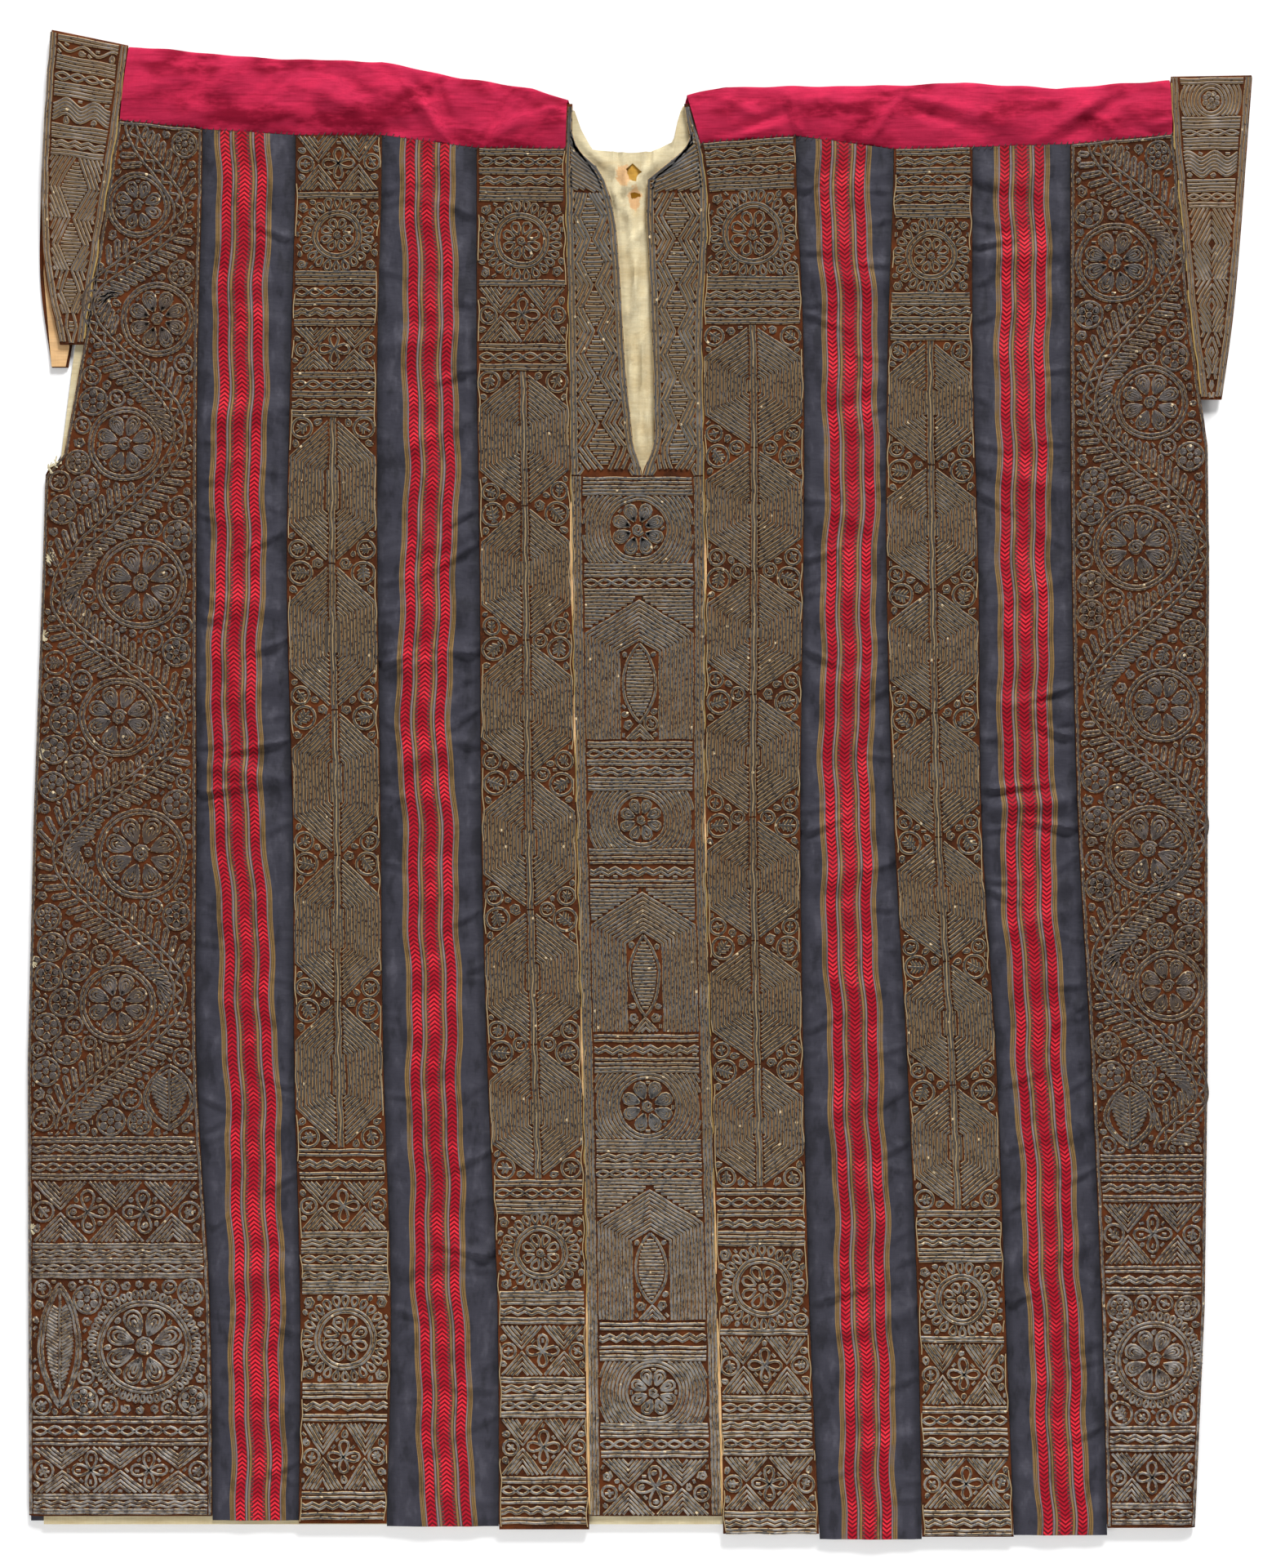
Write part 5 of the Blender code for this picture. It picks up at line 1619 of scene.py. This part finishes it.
class TUNIC_OT_linings(bpy.types.Operator):
    """Lay the cream linings of the back and the front, and the tan one of the left sleeve"""

    bl_idname = "tunic.linings"
    bl_label = "Linings"

    def execute(self, context):
        colours = context.scene.tunic_colours
        cream = make_cotton(
            "lining_cream", tuple(0.76 * value for value in colours.lining), 1.7, (0.66, 0.58, 0.38),
            (0.42, 0.29, 0.12), 0.6, NECK_WEAR)
        tan = make_cotton(
            "lining_tan", colours.sleeve_lining[:], 1.7, (0.64, 0.42, 0.22), (0.36, 0.19, 0.08), 0.7)
        self.lay_back(cream)
        self.lay_front(cream)
        y = np.linspace(SLEEVE_LINING[0][0], SLEEVE_LINING[-1][0], 24)[:, None]
        share = np.linspace(0, 1, 8)[None, :]
        left, right = read_along(SLEEVE_LINING, y, 1), read_along(SLEEVE_LINING, y, 2)
        x = left + share * (right - left)
        y = np.broadcast_to(y, x.shape)
        top, arrays = cloth_arrays(x, y, SLEEVE_LINING_Z + LINING_WALL, LINING_WALL)
        piece = add_piece("sleeve_lining_left_cloth", arrays, tan)
        declare_cloth("sleeve_lining_left")
        return {"FINISHED"}

    def lay_back(self, material):
        left = outside_armhole(LINING_INSET)
        left += [(211, -391), *((y, x + SEAM_GAP) for y, x in BACK_ARMHOLE_LEFT), (310, -362)]
        edges = partial(table_edges, left, OUTER["right"], 0, LINING_INSET)
        ends = edges(np.array([430.0]))
        neck = np.array(BACK_NECK)
        spread = np.concatenate((
            np.linspace(ends[0][0], neck[0, 0], 12)[:-1], np.linspace(neck[0, 0], neck[-1, 0], 44),
            np.linspace(neck[-1, 0], ends[1][0], 12)[1:],
        ))
        share = ((spread - spread[0]) / (spread[-1] - spread[0]))[None, :]
        line = [(x, y - LINING_BELOW_FOLD) for x, y in FOLD["left"] if x < neck[0, 0] - 4]
        line += BACK_NECK
        line += [(x, y - LINING_BELOW_FOLD) for x, y in FOLD["right"] if x > neck[-1, 0] + 5]
        top_line = read_along(line, spread)[None, :]
        up = np.concatenate((np.linspace(0, 0.72, 14)[:-1], np.linspace(0.72, 1, 96)))[:, None]
        y = BACK_HEM + up * (top_line - BACK_HEM)
        left, right = edges(y)
        x = left + share * (right - left)
        bared = np.minimum(x - read_along(NECK_CUT, y, 1), read_along(NECK_CUT, y, 2) - x)
        hold = np.clip(bared / 4, 0, 1) * (y > SLIT_FOOT)
        swell = NECK_WRINKLE_RISE * ridge_rise(NECK_WRINKLES, x, y) * hold
        top, arrays = cloth_arrays(x, y, BACK_LINING_Z + LINING_WALL + swell, LINING_WALL)
        piece = add_piece("back_lining_cloth", arrays, material)
        cut_through(piece, rip_outline(), BACK_WALL, VELVET_TOP)
        declare_cloth("back_lining")
        self.lay_under_rip()

    def lay_under_rip(self):
        """The ochre layer between the back and its lining, which shows only through the rip."""
        ochre = make_cotton(
            "lining_ochre", (0.60, 0.33, 0.055), 1.7, (0.66, 0.40, 0.10), (0.30, 0.14, 0.02), 0.6)
        middle_x, middle_y, half_width, half_height = NECK_RIP
        spread = np.linspace(-1, 1, 8)
        x, y = np.meshgrid(middle_x + 1.5 * half_width * spread, middle_y + 1.3 * half_height * spread)
        _, arrays = cloth_arrays(x, y, BACK_LINING_Z - 0.05, 0.2)
        add_piece("layer_under_rip", arrays, ochre)

    def lay_front(self, material):
        halves = []
        for side in ("left", "right"):
            up = np.linspace(0, 1, 90)[:, None]
            share = np.linspace(0, 1, 22)[None, :]
            inset = read_along(OUTER[side], 430) + (LINING_INSET if side == "left" else -LINING_INSET)
            neck = NECK_CUT[-1][1 if side == "left" else 2]
            ends = (inset, neck) if side == "left" else (neck, inset)
            crest = read_along(FOLD[side], ends[0] + share * (ends[1] - ends[0])) - LINING_BELOW_FOLD
            y = LINING_HEM + up * (crest - LINING_HEM)
            outer = read_along(OUTER[side], y) + (LINING_INSET if side == "left" else -LINING_INSET)
            middle = read_along(NECK_CUT, y, 1 if side == "left" else 2)
            middle = np.where(y > SLIT_FOOT, middle, 1.6)
            left, right = (outer, middle) if side == "left" else (middle, outer)
            x = left + share * (right - left)
            halves.append(cloth_arrays(x, y, FRONT_LINING_Z + LINING_WALL, LINING_WALL))
        piece = add_piece("front_lining_cloth", join_arrays([half[1] for half in halves]), material)
        declare_cloth("front_lining")


class TUNIC_OT_ribbons(bpy.types.Operator):
    """Lay the four striped ribbons with their puckers"""

    bl_idname = "tunic.ribbons"
    bl_label = "Ribbons"

    def execute(self, context):
        material = make_ribbon_silk(context.scene.tunic_colours)
        for piece in PUCKERS:
            edges = partial(strip_edges, piece)
            x, y, share = strip_grid(edges, HEMS[piece], TOP_CORNERS[piece], 25, 600)
            rise = pucker_rise(piece, x, y, share)
            top = np.stack((x, y, FRONT_Z + RIBBON_WALL + rise), -1)
            stripe = smooth_along(STRIPES[piece], np.clip(y, -489, 418), 1)
            start = stripe[0, 0]
            stripe = stripe + 0.9 * np.sin(0.052 * y + start) + 0.5 * np.sin(0.131 * y + 0.3 * start)
            way = -1 if piece.endswith("left") else 1
            arrays = wall_arrays(top, top - (0, 0, RIBBON_WALL), flat_map(x - stripe, way * y))
            ribbon = add_piece(piece + "_silk", arrays, material)
            mark = ribbon.data.attributes.new("across", "FLOAT", "POINT")
            mark.data.foreach_set("value", np.tile(share.ravel(), 2).astype(np.float32))
            declare_cloth(piece)
        return {"FINISHED"}


class TUNIC_OT_bands(bpy.types.Operator):
    """Lay the four velvet bands and their couched cords"""

    bl_idname = "tunic.bands"
    bl_label = "Bands"

    def execute(self, context):
        for piece in EMBROIDERY:
            if piece != "center":
                lay_velvet(context, piece, band_paths(piece), "band", (11, 150))
        return {"FINISHED"}


class TUNIC_OT_center(bpy.types.Operator):
    """Lay the slit centre panel and its couched cords"""

    bl_idname = "tunic.center"
    bl_label = "Centre panel"

    def execute(self, context):
        halves = []
        for side in ("left", "right"):
            halves.append(velvet_wall("center", partial(slit_edges, side), 11, 300))
        velvet = velvet_material(context.scene.tunic_colours)
        cloth = add_piece("center_velvet", join_arrays([half[1] for half in halves]), velvet)
        height = partial(velvet_height, "center")
        column, slit = center_paths()
        trims = [
            add_cords("center_cords", column, height, "center", context),
            add_cords("slit_cords", slit, height, "slit", context, 1.2),
        ]
        declare_cloth("center")
        return {"FINISHED"}


class TUNIC_OT_sides(bpy.types.Operator):
    """Lay the two side panels and their couched cords"""

    bl_idname = "tunic.sides"
    bl_label = "Side panels"

    def execute(self, context):
        for piece in VINES:
            lay_velvet(context, piece, side_paths(piece), "side", (31, 190))
        return {"FINISHED"}


def fold_over(foot, fold, back_foot, top, front, back):
    """Path of a cloth from its front foot, over the fold and down the back, as rows for every column.

    Gives y, z, the outward y and z, and how far over the fold each row is from 0 to 1. The fold is half a
    circle as high as the cloth's top.
    """
    radius = top / 2
    bend = fold - radius
    turn = (np.linspace(0, math.pi, FOLD_ROWS + 1)[1:])[:, None]
    flat_front, flat_back = np.ones_like(front), np.ones_like(back)
    y = np.concatenate((
        bend + (foot - bend) * front, bend + radius * np.sin(turn), bend + (back_foot - bend) * back))
    z = np.concatenate((top * flat_front, radius + radius * np.cos(turn), 0 * radius * flat_back))
    ones = np.ones_like(radius)
    out_y = np.concatenate((0 * flat_front * ones, np.sin(turn) * ones, 0 * flat_back * ones))
    out_z = np.concatenate((flat_front * ones, np.cos(turn) * ones, -flat_back * ones))
    over = np.concatenate((0 * flat_front, turn / math.pi, flat_back)) * ones
    return y, z, out_y, out_z, over


class TUNIC_OT_shoulders(bpy.types.Operator):
    """Fold the two red shoulder pieces over the top"""

    bl_idname = "tunic.shoulders"
    bl_label = "Shoulders"

    def execute(self, context):
        colour = tuple(0.9 * value for value in context.scene.tunic_colours.shoulder)
        material = make_cotton(
            "shoulder_cotton", colour, 1.5, (0.50, 0.020, 0.066), (0.13, 0.001, 0.010), 0.9)
        for side in ("left", "right"):
            top, low, uv = self.grids(side)
            cloth = add_piece("shoulder_%s_cotton" % side, wall_arrays(top, low, uv), material)
            declare_cloth("shoulder_" + side)
        return {"FINISHED"}

    def grids(self, side):
        """Outer and inner face of a shoulder piece, between its sleeve seam and its neck edge."""
        neck_seam = FRONT_PIECES.index("center") - (1 if side == "left" else 0)
        inward = 1 if side == "left" else -1
        share = np.linspace(0, 1, 150)[None, :]
        share = share if side == "left" else 1 - share
        sleeve = read_along(OUTER[side], 437) + inward * SEAM_GAP
        start = sleeve + share * (seam_x(neck_seam, np.array([437.0])) - inward * SEAM_GAP / 2 - sleeve)
        foot = read_along(shoulder_corners(side, 0), start) + SEAM_GAP
        fold = read_along(FOLD[side], start) + 0.5 * np.sin(start * 0.16) * np.sin(start * 0.043)
        top = np.full(start.shape, FRONT_Z + SHOULDER_WALL)
        front = np.linspace(1, 0, 26)[:, None]
        back = np.linspace(0, 1, 9)[1:, None]
        y, z, out_y, out_z, over = fold_over(foot, fold, BACK_TOP + SEAM_GAP, top, front, back)
        front_neck = seam_x(neck_seam, np.clip(y, SEAMS[-1][0], SEAMS[0][0]))
        neck = (1 - over) * front_neck + over * read_along(SHOULDER_BACK_NECK[side], y)
        sleeve = read_along(OUTER[side], y) + inward * SEAM_GAP
        x = sleeve + share * (neck - inward * SEAM_GAP / 2 - sleeve)
        fade = np.clip((fold - y) / 10, 0, 1) * np.clip((y - foot) / 4, 0, 1) * np.clip(out_z, 0, 1)
        draw = np.random.default_rng(len(side))
        slight = draw.uniform((x.min(), 430, 0.4, 2.5, -1), (x.max(), 480, 0.9, 5, 1), (SLIGHT_FOLDS, 5))
        rise = (SHOULDER_FOLD_RISE * ridge_rise(SHOULDER_FOLDS[side], x, y) + ridge_rise(slight, x, y)) * fade
        up = np.clip((y - foot) / (fold - foot), 0, 1)
        rise = np.maximum(rise + SHOULDER_CROWN * np.sin(math.pi * up) * np.clip(out_z, 0, 1), 0)
        outer = np.stack((x, y, z + rise), -1)
        inner = np.stack((x, y - out_y * SHOULDER_WALL, z - out_z * SHOULDER_WALL + rise), -1)
        return outer, inner, flat_map(x, y)


class TUNIC_OT_sleeves(bpy.types.Operator):
    """Fold the two sleeve bands over the top and lay their couched cords"""

    bl_idname = "tunic.sleeves"
    bl_label = "Sleeve bands"

    def execute(self, context):
        velvet = velvet_material(context.scene.tunic_colours)
        for side in ("left", "right"):
            top, low, uv = self.grids(side)
            cloth = add_piece("sleeve_%s_velvet" % side, wall_arrays(top, low, uv), velvet)
            height = partial(sleeve_height, side)
            cords = add_cords("sleeve_%s_cords" % side, sleeve_paths(side), height, "sleeve", context)
            declare_cloth("sleeve_" + side)
        return {"FINISHED"}

    def grids(self, side):
        """Outer and inner face of a sleeve band, from the foot of its front over the fold to its back."""
        fold_outer, fold_inner, front_foot, back_foot = SLEEVE_LEVELS[side]
        across = np.linspace(0, 1, 13)[None, :]
        across = across if side == "left" else 1 - across
        fold = fold_outer + across * (fold_inner - fold_outer)
        top = VELVET_TOP - SLEEVE_OUTER_DROP * (1 - across)
        front = np.linspace(1, 0, 70)[:, None]
        back = np.linspace(0, 1, 40)[1:, None]
        y, z, out_y, out_z, over = fold_over(front_foot, fold, back_foot, top, front, back)
        bent = np.zeros((FOLD_ROWS, 1))
        share = np.concatenate((front, bent, back))
        rows = SLEEVES[side]
        outer = (1 - over) * smooth_along(rows, share, 1) + over * smooth_along(rows, share, 2)
        seam = read_along(OUTER[side], y) + (-SEAM_GAP if side == "left" else SEAM_GAP)
        inner = (1 - over) * seam + over * smooth_along(rows, share, 3)
        x = outer + across * (inner - outer)
        face = np.stack((x, y, z), -1)
        lining = np.stack((x, y - out_y * VELVET_WALL, z - out_z * VELVET_WALL), -1)
        return face, lining, flat_map(x, y)


def broken(line, seed, longest=40):
    """Uneven lengths of a line of points, with short gaps between them."""
    draw = np.random.default_rng(seed)
    cuts = np.cumsum(draw.uniform((longest / 5, 2), (longest, 10), (60, 2))).astype(int)
    runs = np.split(line, cuts[cuts < len(line) - 2])
    return [run for run in runs[::2] if len(run) > 2]


class TUNIC_OT_stitches(bpy.types.Operator):
    """Sew the yellow and gold threads, the dark whip stitches under the shoulders and the frayed edges"""

    bl_idname = "tunic.stitches"
    bl_label = "Stitches"

    def execute(self, context):
        sizes, colours = context.scene.tunic_sizes, context.scene.tunic_colours
        width = sizes.thread_width / MM
        yellow = make_thread("thread_yellow", colours.yellow_thread[:])
        dark = make_thread("thread_dark", colours.dark_thread[:])
        pale = make_thread("thread_pale", colours.lining[:])
        height = partial(velvet_height, "center")
        for side in ("left", "right"):
            inward = 1 if side == "left" else -1
            y = np.linspace(HEMS["center"] + 2, 424, 460)
            edge = strip_edges("center", y)[0 if side == "left" else 1]
            line = broken(np.stack((edge + inward * 0.2, y), 1), len(side))
            seam = cord_arrays(line, height, width, 0.7, 0.35, 0.0)
            y = np.linspace(SLEEVE_LEVELS[side][2] + 4, SLEEVE_LEVELS[side][1] - 5, 100)
            edge = sleeve_edges(side, y)[1 if side == "left" else 0]
            line = broken(np.stack((edge - inward * 0.3, y), 1), len(side) + 9)
            cuff = cord_arrays(line, partial(sleeve_height, side), width * 1.4, 0.7, 0.3, 0.0)
            add_piece("seam_threads_" + side, join_arrays((seam, cuff)), yellow, sharp=80)
            starts = even(shoulder_corners(side, 1), 4.2)
            whips = [np.stack((spot + (-0.9, -1.6), spot + (0.9, 1.4))) for spot in starts]
            arrays = cord_arrays(whips, self.seam_height, width, 0.6, 0.35, 0.05)
            add_piece("whip_stitches_" + side, arrays, dark, sharp=80)
        gold = make_thread("thread_gold", colours.gold_thread[:])
        for piece in EMBROIDERY:
            arrays = cord_arrays(self.gilt_lines(piece), partial(velvet_height, piece), width, 0.6, 0.5, 0.5)
            add_piece("gold_threads_" + piece, arrays, gold, sharp=80)
        turns = np.random.default_rng(3).uniform(0, 2 * math.pi, (len(FRAYS), 12))
        tips = np.array(FRAYS)[:, None] + 2.6 * np.stack((0.6 + np.cos(turns), 1.5 * np.sin(turns)), -1)
        frays = [np.stack((spot, tip)) for spot, row in zip(np.array(FRAYS), tips) for tip in row]
        arrays = cord_arrays(frays, partial(velvet_height, "side_left"), width, 0.6, 0.2, 0.2)
        add_piece("frayed_threads", arrays, pale, sharp=80)
        glimpses = join_arrays([self.glimpse(*row) for row in LINING_GLIMPSES])
        add_piece("lining_glimpses", glimpses, bpy.data.materials["lining_tan"])
        return {"FINISHED"}

    def gilt_lines(self, piece):
        """Broken threads along both edges of a strip and down the vein of its hexagons."""
        seed = FRONT_PIECES.index(piece)
        level = CENTER_TOP if piece == "center" else min(TOP_CORNERS[piece])
        y = np.linspace(HEMS[piece] + 2, level - 2, 240)
        left, right = strip_edges(piece, y)
        lines = broken(np.stack((left + 1.2, y), 1), seed, 14)
        lines += broken(np.stack((right - 1.2, y), 1), seed + 20, 14)
        for motif, _, length in EMBROIDERY[piece]:
            if motif == "hexagon":
                vein = (y < level - 3) & (y > level - length + 3)
                lines += broken(np.stack(((left + right)[vein] / 2, y[vein]), 1), seed + 40)
            level -= length
        return lines

    def glimpse(self, side, low, high, width):
        """A sliver of lining along a seam of the centre, widest in its middle."""
        y = np.linspace(low, high, 40)[:, None]
        share = np.linspace(-0.5, 0.5, 3)[None, :]
        middle = strip_edges("center", y)[0 if side == "left" else 1]
        x = middle + share * (0.3 + width * np.sqrt(np.sin(math.pi * np.linspace(0, 1, 40)))[:, None])
        y = np.broadcast_to(y, x.shape)
        return cloth_arrays(x, y, velvet_height("center", x, y) + 0.5, 0.8)[1]

    def seam_height(self, x, y):
        """Top of the cloths at the shoulder seam: higher where a velvet strip meets it."""
        height = np.full(np.shape(x), FRONT_Z + SHOULDER_WALL)
        for piece in FRONT_PIECES:
            if piece.startswith("ribbon"):
                continue
            left, right = strip_edges(piece, y)
            height = np.where((x > left) & (x < right), VELVET_TOP, height)
        return height


class TUNIC_OT_stage(bpy.types.Operator):
    """Set the pale floor, the soft lights and the camera straight above"""

    bl_idname = "tunic.stage"
    bl_label = "Stage"

    def execute(self, context):
        self.add_camera(context)
        self.add_floor()
        world = bpy.data.worlds.new("studio")
        world.use_nodes = True
        sky = world.node_tree.nodes["Background"].inputs
        sky["Color"].default_value = (1.0, 1.0, 1.0, 1)
        sky["Strength"].default_value = SKY_STRENGTH
        context.scene.world = world
        context.scene.view_settings.view_transform = "Standard"
        for light in LIGHTS:
            self.add_light(*light)
        return {"FINISHED"}

    def add_camera(self, context):
        """Camera straight above the photograph's middle, as far up as its lens needs for the frame."""
        data = bpy.data.cameras.new("camera")
        data.lens = context.scene.tunic_sizes.camera_lens
        data.sensor_width = SENSOR_WIDTH
        camera = bpy.data.objects.new("camera", data)
        distance = data.lens / SENSOR_WIDTH * FRAME_HEIGHT
        camera.location = (FRAME_MIDDLE_X * MM, 0.0, distance + VELVET_TOP * MM)
        context.scene.collection.objects.link(camera)
        context.scene.camera = camera

    def add_floor(self):
        """A pale floor just under the tunic."""
        x, y = np.meshgrid(np.linspace(-4000, 4000, 9), np.linspace(-4000, 4000, 9))
        index = np.arange(81).reshape(9, 9)
        quads = np.stack((index[:-1, :-1], index[:-1, 1:], index[1:, 1:], index[1:, :-1]), -1).reshape(-1, 4)
        mesh = bpy.data.meshes.new("floor")
        points = np.stack((x, y, np.full(x.shape, -0.2)), -1).reshape(-1, 3) * MM
        mesh.from_pydata(points.tolist(), [], quads.tolist())
        material, shading, shader, place = new_material("floor_paper")
        tone = shading.noise(place, 0.01)
        shading.put(shader.inputs["Base Color"], shading.mix(tone, (0.93, 0.93, 0.93), (0.97, 0.97, 0.97)))
        shader.inputs["Roughness"].default_value = 0.95
        mesh.materials.append(material)
        floor = bpy.data.objects.new("floor", mesh)
        bpy.context.scene.collection.objects.link(floor)

    def add_light(self, name, place, size, power):
        """A square soft light that faces the middle of the tunic."""
        data = bpy.data.lights.new(name, "AREA")
        data.size = size
        data.energy = power
        light = bpy.data.objects.new(name, data)
        light.location = place
        away = np.array(place) / np.linalg.norm(place)
        light.rotation_euler = (math.acos(away[2]), 0.0, math.atan2(away[1], away[0]) + math.pi / 2)
        bpy.context.scene.collection.objects.link(light)


class TUNIC_PT_panel(bpy.types.Panel):
    """Makes the tunic's pieces and holds their sizes and colours"""

    bl_label = "Bridal tunic"
    bl_idname = "TUNIC_PT_panel"
    bl_space_type = "VIEW_3D"
    bl_region_type = "UI"
    bl_category = "Tunic"

    def draw(self, context):
        for operator in OPERATORS:
            self.layout.operator(operator.bl_idname)
        for group in (context.scene.tunic_sizes, context.scene.tunic_colours):
            for name in group.__annotations__:
                self.layout.prop(group, name)


OPERATORS = (
    TUNIC_OT_stage, TUNIC_OT_back, TUNIC_OT_linings, TUNIC_OT_ribbons, TUNIC_OT_bands, TUNIC_OT_center,
    TUNIC_OT_sides, TUNIC_OT_shoulders, TUNIC_OT_sleeves, TUNIC_OT_stitches,
)
CLASSES = (TunicSizes, TunicColours, *OPERATORS, TUNIC_PT_panel)


def register():
    for kind in CLASSES:
        bpy.utils.register_class(kind)
    bpy.types.Scene.tunic_sizes = bpy.props.PointerProperty(type=TunicSizes)
    bpy.types.Scene.tunic_colours = bpy.props.PointerProperty(type=TunicColours)


def unregister():
    del bpy.types.Scene.tunic_colours
    del bpy.types.Scene.tunic_sizes
    for kind in reversed(CLASSES):
        bpy.utils.unregister_class(kind)


def main():
    register()
    make_weave_group()
    make_ageing_group()
    bpy.ops.tunic.stage()
    bpy.ops.tunic.back()
    bpy.ops.tunic.linings()
    bpy.ops.tunic.ribbons()
    bpy.ops.tunic.bands()
    bpy.ops.tunic.center()
    bpy.ops.tunic.sides()
    bpy.ops.tunic.shoulders()
    bpy.ops.tunic.sleeves()
    bpy.ops.tunic.stitches()


if __name__ == "__main__":
    main()
